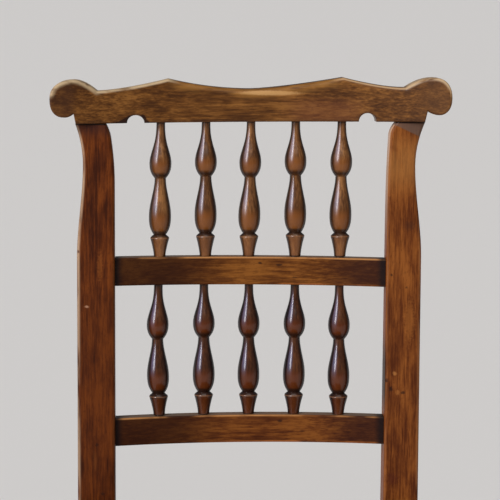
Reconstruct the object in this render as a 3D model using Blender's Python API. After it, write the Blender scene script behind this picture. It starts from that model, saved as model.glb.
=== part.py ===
import math

import bmesh
import bpy
from mathutils import Matrix, Vector

# A wooden dining chair with a back of turned spindles between bent rails.
# The sitter faces -Y, +Z is up, and the origin is on the floor in the middle of the chair's footprint.

# Fits and softened arrises
FIT_GAP = 0.0003
BOARD_GAP = 0.0006
ARRIS = 0.0025
TENON_ARRIS = 0.0008

# Seat height and the lean of the back above it and of the rear legs below it
SEAT_HEIGHT = 0.440
BACK_RAKE = math.radians(7.0)
REAR_LEG_SPLAY = math.radians(6.0)
ELBOW_REACH = 0.030

# The bent rails lie on one arc, measured behind the posts' front faces
BACK_ARC_RADIUS = 0.650
BACK_ARC_DEPTH = 0.032
BACK_ARC_STEPS = 20

# Back posts, which run on below the seat as the rear legs
POST_INNER = 0.1475
POST_WIDTH = 0.0411
POST_FOOT_WIDTH = 0.034
POST_WAIST_CUT = 0.0079
POST_WAIST_BELOW_CREST = 0.0455
POST_WAIST_LENGTH = 0.102
POST_FLARE_LENGTH = 0.0675
POST_FLARE_INNER = 0.0075
POST_FLARE_OUTER = 0.0095
POST_DEPTH_FOOT = 0.030
POST_DEPTH_SEAT = 0.036
POST_DEPTH_TOP = 0.020
POST_TENON_WIDTH = 0.016
POST_TENON_DEPTH = 0.010
POST_TENON_LENGTH = 0.018

# Crest rail, with its heights measured up from its flat underside
CREST_THICKNESS = 0.025
CREST_MIDDLE_RISE = 0.0371
CREST_PEAK_RISE = 0.0478
CREST_PEAK_ACROSS = 0.0944
CREST_NECK_RISE = 0.0369
CREST_NECK_ACROSS = 0.1668
CREST_ROLL = 0.0065
CREST_COLUMNS = 8
EAR_TOP_RISE = 0.0512
EAR_MIDDLE_RISE = 0.0280
EAR_BOTTOM_RISE = 0.0075
EAR_TOP_ACROSS = 0.190
EAR_BOTTOM_ACROSS = 0.201
EAR_END_ACROSS = 0.218
EAR_STEP_ACROSS = 0.1902
NOTCH_ACROSS = 0.1265
NOTCH_RADIUS = 0.0095
NOTCH_STEPS = 6

# Middle rail and lower rail
RAIL_HEIGHT = 0.031
RAIL_THICKNESS = 0.020
LOWER_RAIL_CLEAR = 0.080
RAIL_TENON_HEIGHT = 0.022
RAIL_TENON_THICKNESS = 0.009
RAIL_TENON_LENGTH = 0.018

# Turned spindles. The turner marks the same shares of the length on both rows, from the top down.
SPINDLE_COUNT = 5
SPINDLE_PITCH = 0.050
UPPER_SPINDLE_LENGTH = 0.1495
LOWER_SPINDLE_LENGTH = 0.1460
SPINDLE_TENON_RADIUS = 0.0045
SPINDLE_TENON_LENGTH = 0.011
SPINDLE_TOP_RADIUS = 0.0048
UPPER_BELLY_MARK = 0.298
UPPER_BELLY_RADIUS = 0.01165
NECK_MARK = 0.414
NECK_RADIUS = 0.0062
LOWER_BELLY_MARK = 0.689
LOWER_BELLY_RADIUS = 0.0118
GROOVE_MARK = 0.835
GROOVE_RADIUS = 0.0068
COLLAR_BEVEL = 0.0016
COLLAR_LENGTH = 0.0030
COLLAR_RADIUS = 0.0104
FOOT_RADIUS = 0.0063
SPINDLE_SIDES = 12

# Seat board and the frame under it
SEAT_BOARD_THICKNESS = 0.020
SEAT_BOARD_ROUNDING = 0.004
SEAT_BOARD_FRONT = -0.395
SEAT_BOARD_BACK = 0.030
SEAT_BOARD_FRONT_OVERHANG = 0.011
SEAT_BOARD_SIDE_OVERHANG = 0.005
SEAT_BOARD_FRONT_HALF = 0.214
SEAT_BOARD_OVERHANG = 0.004
SEAT_BOARD_CORNER = 0.030
SEAT_RAIL_HEIGHT = 0.055
SEAT_RAIL_THICKNESS = 0.020
SEAT_RAIL_TENON_HEIGHT = 0.036
SEAT_RAIL_TENON_THICKNESS = 0.008
SEAT_RAIL_TENON_LENGTH = 0.014
BACK_SEAT_RAIL_BEHIND = 0.024

# Front legs, tapered on their two inner faces below the frame
FRONT_LEG_WIDTH = 0.038
FRONT_LEG_TAPER = 0.010
FRONT_LEG_TAPER_DROP = 0.006
FRONT_SEAT_RAIL_INSET = 0.013

# Stretchers
STRETCHER_HEIGHT = 0.026
STRETCHER_THICKNESS = 0.018
STRETCHER_TENON_HEIGHT = 0.016
STRETCHER_TENON_THICKNESS = 0.008
STRETCHER_TENON_LENGTH = 0.012
SIDE_STRETCHER_LEVEL = 0.130
REAR_STRETCHER_LEVEL = 0.195
CROSS_STRETCHER_AT = -0.170
CROSS_TENON_LENGTH = 0.009

# Glue blocks in the corners of the seat frame, and the screws up through them
BLOCK_HEIGHT = 0.028
BLOCK_LEG_CLEAR = 0.045
SCREW_HEAD_RADIUS = 0.0040
SCREW_HEAD_HEIGHT = 0.0030
SCREW_SHANK_RADIUS = 0.0021
SCREW_BITE = 0.013
SCREW_SIDES = 12

# Places that follow from the sizes above, up the back from the seat and forward from the back posts
LOWER_RAIL_TOP = LOWER_RAIL_CLEAR + RAIL_HEIGHT
MIDDLE_RAIL_BOTTOM = LOWER_RAIL_TOP + LOWER_SPINDLE_LENGTH
MIDDLE_RAIL_TOP = MIDDLE_RAIL_BOTTOM + RAIL_HEIGHT
CREST_BOTTOM = MIDDLE_RAIL_TOP + UPPER_SPINDLE_LENGTH
POST_WAIST_HEIGHT = CREST_BOTTOM - POST_WAIST_BELOW_CREST
POST_WAIST_START = POST_WAIST_HEIGHT - POST_WAIST_LENGTH
POST_FLARE_START = CREST_BOTTOM - POST_FLARE_LENGTH
FRAME_TOP = SEAT_HEIGHT - SEAT_BOARD_THICKNESS
FRAME_BOTTOM = FRAME_TOP - SEAT_RAIL_HEIGHT
FRONT_LEG_ACROSS = SEAT_BOARD_FRONT_HALF - SEAT_BOARD_SIDE_OVERHANG - FRONT_LEG_WIDTH / 2
FRONT_LEG_FRONT = SEAT_BOARD_FRONT + SEAT_BOARD_FRONT_OVERHANG
FRONT_LEG_BACK = FRONT_LEG_FRONT + FRONT_LEG_WIDTH
FRONT_SEAT_RAIL_AT = FRONT_LEG_FRONT + FRONT_SEAT_RAIL_INSET


def clear_objects():
    for existing in list(bpy.data.objects):
        bpy.data.objects.remove(existing, do_unlink=True)


def finish_of(name, colour, roughness, metallic=0.0):
    material = bpy.data.materials.new(name)
    material.use_nodes = True
    shader = material.node_tree.nodes["Principled BSDF"]
    shader.inputs["Base Color"].default_value = (*colour, 1.0)
    shader.inputs["Roughness"].default_value = roughness
    shader.inputs["Metallic"].default_value = metallic
    return material


def object_from(name, shape, finish=None, parent=None):
    """Turn a bmesh into a named object with its faces pointing out."""
    bmesh.ops.recalc_face_normals(shape, faces=shape.faces)
    mesh = bpy.data.meshes.new(name)
    shape.to_mesh(mesh)
    shape.free()
    made = bpy.data.objects.new(name, mesh)
    bpy.context.collection.objects.link(made)
    if finish:
        mesh.materials.append(finish)
    made.parent = parent
    return made


def make_cutter(made):
    made.hide_render = True
    made.display_type = "WIRE"
    return made


def cut_with(target, cutter):
    modifier = target.modifiers.new(cutter.name, "BOOLEAN")
    modifier.operation = "DIFFERENCE"
    modifier.solver = "EXACT"
    modifier.object = cutter


def shade_round(made, crease=math.radians(35.0)):
    made.data.shade_smooth()
    made.data.set_sharp_from_angle(angle=crease)


def extrude_through(shape, sections):
    """Fill the first outline and extrude it through all the others, point for point."""
    corners = [shape.verts.new(point) for point in sections[0]]
    start_cap = shape.faces.new(corners)
    face = start_cap
    for outline in sections[1:]:
        order = {vertex: place for place, vertex in enumerate(corners)}
        left_behind = face
        pulled = bmesh.ops.extrude_face_region(shape, geom=[face])["geom"]
        face = next(item for item in pulled if isinstance(item, bmesh.types.BMFace))
        if left_behind is not start_cap:
            bmesh.ops.delete(shape, geom=[left_behind], context="FACES_ONLY")
        moved = [None] * len(corners)
        for vertex in face.verts:
            foot = next(
                edge.other_vert(vertex) for edge in vertex.link_edges if edge.other_vert(vertex) in order
            )
            moved[order[foot]] = vertex
        for vertex, point in zip(moved, outline):
            vertex.co = point
        corners = moved


def softened_rectangle(low_side, high_side, low, high, arris, top_roll=None):
    """Corner-cut rectangle as pairs. The roll is the larger cut at its low side's upper corner."""
    soft = min(arris, (high - low) * 0.3)
    roll = soft if top_roll is None else min(top_roll, (high - low) * 0.4)
    return [
        (low_side, low + soft),
        (low_side + soft, low),
        (high_side - soft, low),
        (high_side, low + soft),
        (high_side, high - soft),
        (high_side - soft, high),
        (low_side + roll, high),
        (low_side, high - roll),
    ]


def centred_rectangle(width, height, arris):
    return softened_rectangle(-width / 2, width / 2, -height / 2, height / 2, arris)


def eased(share):
    """Slow at both ends, from 0 to 1."""
    held = min(max(share, 0.0), 1.0)
    return held * held * (3.0 - 2.0 * held)


# Curves that several pieces share

def arc_behind(across):
    """How far behind the posts' front faces the rails' centre line runs."""
    return BACK_ARC_DEPTH - (BACK_ARC_RADIUS - math.sqrt(BACK_ARC_RADIUS ** 2 - across ** 2))


def post_front(height):
    """Y of the front face of a back post at a height near or below the seat."""
    above = math.tan(BACK_RAKE)
    below = math.tan(REAR_LEG_SPLAY)
    rise = height - SEAT_HEIGHT
    if rise >= ELBOW_REACH:
        return rise * above
    if rise <= -ELBOW_REACH:
        return -rise * below
    middle = ELBOW_REACH * (above + below) / 4
    bend = (above + below) / (4 * ELBOW_REACH)
    return middle + rise * (above - below) / 2 + bend * rise * rise


def post_sides(up_back):
    """Inner and outer side of a post at a distance up the back, or below the seat where it is negative."""
    if up_back < 0:
        share = min(-up_back / SEAT_HEIGHT, 1.0)
        return POST_INNER, POST_INNER + POST_WIDTH + (POST_FOOT_WIDTH - POST_WIDTH) * share
    waist = (up_back - POST_WAIST_START) / (POST_WAIST_HEIGHT - POST_WAIST_START)
    outer = POST_INNER + POST_WIDTH - POST_WAIST_CUT * eased(waist)
    if up_back > POST_WAIST_HEIGHT:
        share = (up_back - POST_WAIST_HEIGHT) / (CREST_BOTTOM - POST_WAIST_HEIGHT)
        outer += POST_FLARE_OUTER * share * share
    inner = POST_INNER
    if up_back > POST_FLARE_START:
        share = (up_back - POST_FLARE_START) / (CREST_BOTTOM - POST_FLARE_START)
        inner += POST_FLARE_INNER * share * share
    return inner, outer


def post_depth(up_back):
    if up_back < 0:
        share = min(-up_back / SEAT_HEIGHT, 1.0)
        return POST_DEPTH_SEAT + (POST_DEPTH_FOOT - POST_DEPTH_SEAT) * share
    share = up_back / CREST_BOTTOM
    return POST_DEPTH_SEAT + (POST_DEPTH_TOP - POST_DEPTH_SEAT) * share


def post_tenon_middle():
    inner, outer = post_sides(CREST_BOTTOM)
    return (inner + outer) / 2


def side_rail_across(along):
    """X of the middle of a side rail or side stretcher at a given Y."""
    rear = POST_INNER + POST_WIDTH / 2
    slope = (FRONT_LEG_ACROSS - rear) / FRONT_LEG_BACK
    return rear + slope * along


def front_leg_back(height):
    """Y of the back face of a front leg."""
    share = min(max(1 - height / (FRAME_BOTTOM - FRONT_LEG_TAPER_DROP), 0.0), 1.0)
    return FRONT_LEG_BACK - FRONT_LEG_TAPER * share


# The leaning back is built in the frame of an empty that stands at the seat and leans with it

clear_objects()

back_frame = bpy.data.objects.new("back_frame", None)
bpy.context.collection.objects.link(back_frame)
back_frame.location = (0.0, 0.0, SEAT_HEIGHT)
back_frame.rotation_euler = (-BACK_RAKE, 0.0, 0.0)


def on_back(across, behind, up_back):
    """World point of a place on the leaning back."""
    sine = math.sin(BACK_RAKE)
    cosine = math.cos(BACK_RAKE)
    return Vector((across, up_back * sine + behind * cosine, SEAT_HEIGHT + up_back * cosine - behind * sine))


# Back posts

def post_section(up_back, side, width_from, width_to, behind_from, behind_to, arris):
    corners = softened_rectangle(width_from, width_to, behind_from, behind_to, arris)
    return [on_back(side * across, behind, up_back) for across, behind in corners]


def make_post(name, side, finish):
    heights = [0.0, FRAME_BOTTOM / 2, FRAME_BOTTOM]
    for step in range(5):
        heights.append(SEAT_HEIGHT + ELBOW_REACH * (step / 2 - 1))
    sections = []
    for height in heights:
        rise = height - SEAT_HEIGHT
        inner, outer = post_sides(min(rise, 0.0))
        front = post_front(height)
        corners = softened_rectangle(inner, outer, front, front + post_depth(rise), ARRIS)
        sections.append([Vector((side * across, along, height)) for across, along in corners])
    shoulder = CREST_BOTTOM - FIT_GAP
    waist_steps = 5
    flare_steps = 4
    levels = [LOWER_RAIL_TOP]
    for step in range(waist_steps):
        levels.append(POST_WAIST_START + (POST_WAIST_HEIGHT - POST_WAIST_START) * step / waist_steps)
    for step in range(flare_steps + 1):
        levels.append(POST_WAIST_HEIGHT + (shoulder - POST_WAIST_HEIGHT) * step / flare_steps)
    for level in levels:
        inner, outer = post_sides(level)
        sections.append(post_section(level, side, inner, outer, 0.0, post_depth(level), ARRIS))
    middle = post_tenon_middle()
    half = POST_TENON_WIDTH / 2
    behind = (POST_DEPTH_TOP - POST_TENON_DEPTH) / 2
    for level in (shoulder, CREST_BOTTOM + POST_TENON_LENGTH):
        back = behind + POST_TENON_DEPTH
        sections.append(post_section(level, side, middle - half, middle + half, behind, back, TENON_ARRIS))
    shape = bmesh.new()
    extrude_through(shape, sections)
    return object_from(name, shape, finish)


# Bars with a tenon at each end

def bar_across(name, reach_at, middle, width, height, tenon, finish, level):
    """Straight bar along X. Its shoulders stay just clear of the faces, given as their reach at each Y."""
    thickness, tenon_height, length = tenon
    body = centred_rectangle(width, height, ARRIS)
    stub = centred_rectangle(thickness, tenon_height, TENON_ARRIS)
    tip = reach_at(middle) + length

    def section(outline, side, at_tip):
        points = []
        for along, up in outline:
            end = tip if at_tip else reach_at(middle + along) - FIT_GAP
            points.append(Vector((side * end, along, up)))
        return points

    shape = bmesh.new()
    sections = [
        section(stub, -1, True),
        section(stub, -1, False),
        section(body, -1, False),
        section(body, 1, False),
        section(stub, 1, False),
        section(stub, 1, True),
    ]
    extrude_through(shape, sections)
    made = object_from(name, shape, finish)
    made.location = (0.0, middle, level)
    return made


def bar_along(name, side, level, width, height, tenon, finish):
    """Bar from a rear leg to a front leg. Its shoulders follow the slant of the two faces."""
    thickness, tenon_height, length = tenon
    body = centred_rectangle(width, height, ARRIS)
    stub = centred_rectangle(thickness, tenon_height, TENON_ARRIS)

    def section(outline, face, offset):
        points = []
        for across, up in outline:
            along = face(level + up) + offset
            points.append(Vector((side * (side_rail_across(along) + across), along, level + up)))
        return points

    shape = bmesh.new()
    sections = [
        section(stub, post_front, length),
        section(stub, post_front, -FIT_GAP),
        section(body, post_front, -FIT_GAP),
        section(body, front_leg_back, FIT_GAP),
        section(stub, front_leg_back, FIT_GAP),
        section(stub, front_leg_back, -length),
    ]
    extrude_through(shape, sections)
    return object_from(name, shape, finish)


def add_block(shape, low, high):
    """Box between two opposite corners."""
    middle = (Vector(low) + Vector(high)) / 2
    size = Vector(high) - Vector(low)
    placed = Matrix.Translation(middle) @ Matrix.Diagonal((*size, 1.0))
    bmesh.ops.create_cube(shape, size=1.0, matrix=placed)


def add_slanted_mortise(shape, side, level, tenon, face, direction):
    """Hole for the tenon of a bar that runs from front to back."""
    thickness, tenon_height, length = tenon
    outline = centred_rectangle(thickness + 2 * FIT_GAP, tenon_height + 2 * FIT_GAP, TENON_ARRIS)
    sections = []
    for offset in (-direction * length, direction * (length + FIT_GAP)):
        points = []
        for across, up in outline:
            along = face(level + up) + offset
            points.append(Vector((side * (side_rail_across(along) + across), along, level + up)))
        sections.append(points)
    extrude_through(shape, sections)


# Rails of the back, bent to the arc

def bent_stations():
    reach = POST_INNER - FIT_GAP
    return [reach * (2 * step / BACK_ARC_STEPS - 1) for step in range(BACK_ARC_STEPS + 1)]


def make_bent_rail(name, top, finish):
    middle = top - RAIL_HEIGHT / 2
    body = centred_rectangle(RAIL_THICKNESS, RAIL_HEIGHT, ARRIS)
    stub = centred_rectangle(RAIL_TENON_THICKNESS, RAIL_TENON_HEIGHT, TENON_ARRIS)
    reach = POST_INNER - FIT_GAP
    tip = POST_INNER + RAIL_TENON_LENGTH
    stations = [(-tip, stub, -reach), (-reach, stub, -reach)]
    stations += [(across, body, across) for across in bent_stations()]
    stations += [(reach, stub, reach), (tip, stub, reach)]
    sections = []
    for across, outline, bend_at in stations:
        centre = arc_behind(bend_at)
        sections.append([Vector((across, centre + behind, up)) for behind, up in outline])
    shape = bmesh.new()
    extrude_through(shape, sections)
    made = object_from(name, shape, finish, back_frame)
    made.location = (0.0, 0.0, middle)
    return made


def back_spindle_places():
    first = -(SPINDLE_COUNT - 1) / 2
    return [(first + place) * SPINDLE_PITCH for place in range(SPINDLE_COUNT)]


def spindle_hole_cutter(name, spans):
    """Round holes along the arc, one set for each span of heights up the back."""
    shape = bmesh.new()
    radius = SPINDLE_TENON_RADIUS + FIT_GAP
    for low, high in spans:
        for across in back_spindle_places():
            placed = Matrix.Translation((across, arc_behind(across), (low + high) / 2))
            bmesh.ops.create_cone(
                shape,
                cap_ends=True,
                segments=SPINDLE_SIDES,
                radius1=radius,
                radius2=radius,
                depth=high - low,
                matrix=placed,
            )
    return make_cutter(object_from(name, shape, None, back_frame))


# Crest rail

def crest_top(across):
    reach = abs(across)
    if reach <= CREST_PEAK_ACROSS:
        share = reach / CREST_PEAK_ACROSS
        return CREST_BOTTOM + CREST_MIDDLE_RISE + (CREST_PEAK_RISE - CREST_MIDDLE_RISE) * share * share
    if reach <= CREST_NECK_ACROSS:
        share = (reach - CREST_PEAK_ACROSS) / (CREST_NECK_ACROSS - CREST_PEAK_ACROSS)
        return CREST_BOTTOM + CREST_NECK_RISE + (CREST_PEAK_RISE - CREST_NECK_RISE) * (1 - share) ** 2
    if reach <= EAR_TOP_ACROSS:
        share = (reach - CREST_NECK_ACROSS) / (EAR_TOP_ACROSS - CREST_NECK_ACROSS)
        return CREST_BOTTOM + EAR_TOP_RISE - (EAR_TOP_RISE - CREST_NECK_RISE) * (1 - share) ** 2
    share = (reach - EAR_TOP_ACROSS) / (EAR_END_ACROSS - EAR_TOP_ACROSS)
    half_height = (EAR_TOP_RISE - EAR_MIDDLE_RISE) * math.sqrt(max(1 - share * share, 0.0))
    return CREST_BOTTOM + EAR_MIDDLE_RISE + half_height


def crest_bottom(across):
    reach = abs(across)
    from_notch = abs(reach - NOTCH_ACROSS)
    if from_notch < NOTCH_RADIUS:
        return CREST_BOTTOM + math.sqrt(NOTCH_RADIUS ** 2 - from_notch ** 2)
    if reach <= EAR_STEP_ACROSS:
        return CREST_BOTTOM
    share = min(abs(reach - EAR_BOTTOM_ACROSS) / (EAR_END_ACROSS - EAR_BOTTOM_ACROSS), 1.0)
    half_height = (EAR_MIDDLE_RISE - EAR_BOTTOM_RISE) * math.sqrt(max(1 - share * share, 0.0))
    return CREST_BOTTOM + EAR_MIDDLE_RISE - half_height


def crest_half_columns():
    """Places across one half of the crest rail where its outline is drawn."""
    places = [CREST_PEAK_ACROSS * step / CREST_COLUMNS for step in range(CREST_COLUMNS + 1)]
    places.append((CREST_PEAK_ACROSS + NOTCH_ACROSS - NOTCH_RADIUS) / 2)
    for step in range(NOTCH_STEPS + 1):
        places.append(NOTCH_ACROSS - NOTCH_RADIUS * math.cos(math.pi * step / NOTCH_STEPS))
    places.append((NOTCH_ACROSS + NOTCH_RADIUS + CREST_NECK_ACROSS) / 2)
    for share in (0.0, 0.2, 0.45, 0.7):
        places.append(CREST_NECK_ACROSS + (EAR_TOP_ACROSS - CREST_NECK_ACROSS) * share)
    places.append(EAR_STEP_ACROSS)
    places.append(EAR_STEP_ACROSS + ARRIS)
    for turn in (35.0, 50.0, 62.0, 73.0, 82.0, 88.0):
        share = math.sin(math.radians(turn))
        places.append(EAR_TOP_ACROSS + (EAR_END_ACROSS - EAR_TOP_ACROSS) * share)
    return sorted(places)


def make_crest(finish):
    half = crest_half_columns()
    columns = [-place for place in reversed(half[1:])] + half
    sections = []
    for across in columns:
        centre = arc_behind(across)
        share = min(abs(across) / CREST_PEAK_ACROSS, 1.0)
        roll = ARRIS + (CREST_ROLL - ARRIS) * (1 - share * share)
        outline = softened_rectangle(
            centre - CREST_THICKNESS / 2,
            centre + CREST_THICKNESS / 2,
            crest_bottom(across),
            crest_top(across),
            ARRIS,
            roll,
        )
        sections.append([Vector((across, behind, up)) for behind, up in outline])
    shape = bmesh.new()
    extrude_through(shape, sections)
    return object_from("crest_rail", shape, finish, back_frame)


def make_crest_mortises():
    shape = bmesh.new()
    middle = post_tenon_middle()
    half = POST_TENON_WIDTH / 2 + FIT_GAP
    front = (POST_DEPTH_TOP - POST_TENON_DEPTH) / 2 - FIT_GAP
    back = front + POST_TENON_DEPTH + 2 * FIT_GAP
    top = CREST_BOTTOM + POST_TENON_LENGTH + FIT_GAP
    for side in (-1, 1):
        places = sorted((side * (middle - half), side * (middle + half)))
        add_block(shape, (places[0], front, CREST_BOTTOM - ARRIS), (places[1], back, top))
    return make_cutter(object_from("crest_mortises", shape, None, back_frame))


# Turned spindles

def spindle_profile(length):
    """Half outline from the tip of the upper tenon to the tip of the lower one, as distance and radius."""
    upper_belly = length * UPPER_BELLY_MARK
    neck = length * NECK_MARK
    lower_belly = length * LOWER_BELLY_MARK
    groove = length * GROOVE_MARK
    points = [(-SPINDLE_TENON_LENGTH, 0.0), (-SPINDLE_TENON_LENGTH, SPINDLE_TENON_RADIUS)]
    points.append((FIT_GAP, SPINDLE_TENON_RADIUS))
    points.append((FIT_GAP, SPINDLE_TOP_RADIUS))
    for share in (0.25, 0.45, 0.62, 0.76, 0.88, 1.0):
        swell = eased(share ** 1.5)
        radius = SPINDLE_TOP_RADIUS + (UPPER_BELLY_RADIUS - SPINDLE_TOP_RADIUS) * swell
        points.append((upper_belly * share, radius))
    for share in (0.4, 0.7, 1.0):
        radius = UPPER_BELLY_RADIUS + (NECK_RADIUS - UPPER_BELLY_RADIUS) * share ** 2.3
        points.append((upper_belly + (neck - upper_belly) * share, radius))
    for share in (0.25, 0.45, 0.65, 0.85, 1.0):
        radius = NECK_RADIUS + (LOWER_BELLY_RADIUS - NECK_RADIUS) * eased(share)
        points.append((neck + (lower_belly - neck) * share, radius))
    for share in (0.4, 0.7, 1.0):
        radius = LOWER_BELLY_RADIUS + (GROOVE_RADIUS - LOWER_BELLY_RADIUS) * share ** 2.3
        points.append((lower_belly + (groove - lower_belly) * share, radius))
    lip = groove + COLLAR_BEVEL
    points.append((lip, COLLAR_RADIUS))
    cone = lip + COLLAR_LENGTH
    points.append((cone, COLLAR_RADIUS))
    shoulder = length - FIT_GAP
    for share in (0.3, 0.65, 1.0):
        radius = FOOT_RADIUS + (COLLAR_RADIUS - FOOT_RADIUS) * (1 - share) ** 1.5
        points.append((cone + (shoulder - cone) * share, radius))
    points.append((shoulder, SPINDLE_TENON_RADIUS))
    points.append((length + SPINDLE_TENON_LENGTH, SPINDLE_TENON_RADIUS))
    points.append((length + SPINDLE_TENON_LENGTH, 0.0))
    return points


def turned_mesh(name, profile, sides, finish):
    """Spin a half outline, given as distance down and radius, once round the Z axis."""
    shape = bmesh.new()
    chain = [shape.verts.new((radius, 0.0, -distance)) for distance, radius in profile]
    edges = [shape.edges.new(pair) for pair in zip(chain, chain[1:])]
    bmesh.ops.spin(
        shape,
        geom=chain + edges,
        cent=(0.0, 0.0, 0.0),
        axis=(0.0, 0.0, 1.0),
        angle=2 * math.pi,
        steps=sides,
        use_merge=True,
    )
    bmesh.ops.remove_doubles(shape, verts=shape.verts, dist=0.00001)
    bmesh.ops.recalc_face_normals(shape, faces=shape.faces)
    mesh = bpy.data.meshes.new(name)
    shape.to_mesh(mesh)
    shape.free()
    mesh.materials.append(finish)
    mesh.shade_smooth()
    mesh.set_sharp_from_angle(angle=math.radians(50.0))
    return mesh


def place_spindles(row, top, bottom, finish):
    mesh = turned_mesh(row + "_spindle", spindle_profile(top - bottom), SPINDLE_SIDES, finish)
    for place, across in enumerate(back_spindle_places()):
        made = bpy.data.objects.new(row + "_spindle_" + str(place + 1), mesh)
        bpy.context.collection.objects.link(made)
        made.parent = back_frame
        made.location = (across, arc_behind(across), top)


# Front legs

def make_front_leg(name, side, finish):
    outer = FRONT_LEG_ACROSS + FRONT_LEG_WIDTH / 2
    taper_top = FRAME_BOTTOM - FRONT_LEG_TAPER_DROP
    sections = []
    for height, taper in ((0.0, FRONT_LEG_TAPER), (taper_top, 0.0), (FRAME_TOP - FIT_GAP, 0.0)):
        inner = outer - FRONT_LEG_WIDTH + taper
        corners = softened_rectangle(inner, outer, FRONT_LEG_FRONT, front_leg_back(height), ARRIS)
        sections.append([Vector((side * across, along, height)) for across, along in corners])
    shape = bmesh.new()
    extrude_through(shape, sections)
    return object_from(name, shape, finish)


# Seat board

def seat_board_outline():
    """Outline seen from above, notched round the two back posts."""
    notch_front = post_front(SEAT_HEIGHT) - BOARD_GAP
    inner = POST_INNER - BOARD_GAP
    rear_side = POST_INNER + POST_WIDTH + SEAT_BOARD_OVERHANG
    right = [(inner, SEAT_BOARD_BACK), (inner, notch_front), (rear_side, notch_front)]
    corner = Vector((SEAT_BOARD_FRONT_HALF, SEAT_BOARD_FRONT))
    along_side = (Vector((rear_side, notch_front)) - corner).normalized() * SEAT_BOARD_CORNER
    start = corner + along_side
    end = corner - Vector((SEAT_BOARD_CORNER, 0.0))
    corner_steps = 5
    for step in range(corner_steps + 1):
        share = step / corner_steps
        point = start * (1 - share) ** 2 + corner * 2 * share * (1 - share) + end * share ** 2
        right.append((point.x, point.y))
    left = [(-across, along) for across, along in reversed(right)]
    return right + left


def make_seat_board(finish):
    outline = seat_board_outline()
    shape = bmesh.new()
    extrude_through(shape, [[Vector((x, y, level)) for x, y in outline] for level in (FRAME_TOP, SEAT_HEIGHT)])
    rims = [edge for edge in shape.edges if abs(edge.verts[0].co.z - edge.verts[1].co.z) < FIT_GAP]
    bmesh.ops.bevel(shape, geom=rims, offset=SEAT_BOARD_ROUNDING, segments=2, profile=0.5, affect="EDGES")
    return object_from("seat_board", shape, finish)


# Corner blocks and screws

def block_outline(side, at_front):
    """Plan of a glue block that fits round the leg in its corner."""
    lean = SEAT_RAIL_THICKNESS / 2 + FIT_GAP
    if at_front:
        leg_inner = FRONT_LEG_ACROSS - FRONT_LEG_WIDTH / 2 - FIT_GAP
        rail_face = FRONT_SEAT_RAIL_AT + SEAT_RAIL_THICKNESS / 2 + FIT_GAP
        leg_face = FRONT_LEG_BACK + FIT_GAP
        far = leg_face + BLOCK_LEG_CLEAR
    else:
        leg_inner = POST_INNER - FIT_GAP
        rail_face = BACK_SEAT_RAIL_BEHIND - SEAT_RAIL_THICKNESS / 2 - FIT_GAP
        leg_face = post_front(SEAT_HEIGHT) - BOARD_GAP
        far = leg_face - BLOCK_LEG_CLEAR
    points = [
        (leg_inner - BLOCK_LEG_CLEAR, rail_face),
        (leg_inner, rail_face),
        (leg_inner, leg_face),
        (side_rail_across(leg_face) - lean, leg_face),
        (side_rail_across(far) - lean, far),
    ]
    return [(side * across, along) for across, along in points]


def block_middle(outline):
    across = sum(point[0] for point in outline) / len(outline)
    along = sum(point[1] for point in outline) / len(outline)
    return across, along


def make_block(name, side, at_front, finish):
    top = FRAME_TOP - FIT_GAP
    outline = block_outline(side, at_front)
    shape = bmesh.new()
    extrude_through(shape, [[Vector((x, y, level)) for x, y in outline] for level in (top - BLOCK_HEIGHT, top)])
    return object_from(name, shape, finish)


def screw_profile(extra):
    """Half outline of a screw from its head down to its tip, or of its hole with some clearance."""
    underside = BLOCK_HEIGHT + FIT_GAP + SCREW_BITE
    return [
        (-underside - extra, 0.0),
        (-underside - extra, SCREW_SHANK_RADIUS + extra),
        (-SCREW_HEAD_HEIGHT - extra, SCREW_SHANK_RADIUS + extra),
        (-SCREW_HEAD_HEIGHT - extra, SCREW_HEAD_RADIUS + extra),
        (extra, SCREW_HEAD_RADIUS + extra),
        (extra, 0.0),
    ]


def screw_place(side, at_front):
    across, along = block_middle(block_outline(side, at_front))
    return across, along, FRAME_TOP - FIT_GAP - BLOCK_HEIGHT


def make_screw(name, side, at_front, finish):
    mesh = turned_mesh(name, screw_profile(0.0), SCREW_SIDES, finish)
    made = bpy.data.objects.new(name, mesh)
    bpy.context.collection.objects.link(made)
    made.location = screw_place(side, at_front)


def make_screw_hole(name, side, at_front, finish):
    mesh = turned_mesh(name, screw_profile(FIT_GAP), SCREW_SIDES, finish)
    made = bpy.data.objects.new(name, mesh)
    bpy.context.collection.objects.link(made)
    made.location = screw_place(side, at_front)
    return make_cutter(made)


# Finishes

crest_wood = finish_of("crest_rail_wood", (0.300, 0.130, 0.045), 0.42)
post_wood = finish_of("back_post_wood", (0.190, 0.068, 0.028), 0.40)
rail_wood = finish_of("back_rail_wood", (0.200, 0.075, 0.028), 0.42)
upper_wood = finish_of("upper_spindle_wood", (0.110, 0.038, 0.016), 0.30)
lower_wood = finish_of("lower_spindle_wood", (0.105, 0.032, 0.015), 0.30)
seat_wood = finish_of("seat_board_wood", (0.240, 0.100, 0.038), 0.42)
frame_wood = finish_of("seat_frame_wood", (0.180, 0.066, 0.027), 0.45)
leg_wood = finish_of("front_leg_wood", (0.185, 0.067, 0.028), 0.42)
stretcher_wood = finish_of("stretcher_wood", (0.180, 0.066, 0.027), 0.45)
block_wood = finish_of("corner_block_wood", (0.330, 0.190, 0.090), 0.65)
screw_steel = finish_of("seat_screw_steel", (0.350, 0.330, 0.300), 0.45, 1.0)

# Levels and tenons that the joints share

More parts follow.
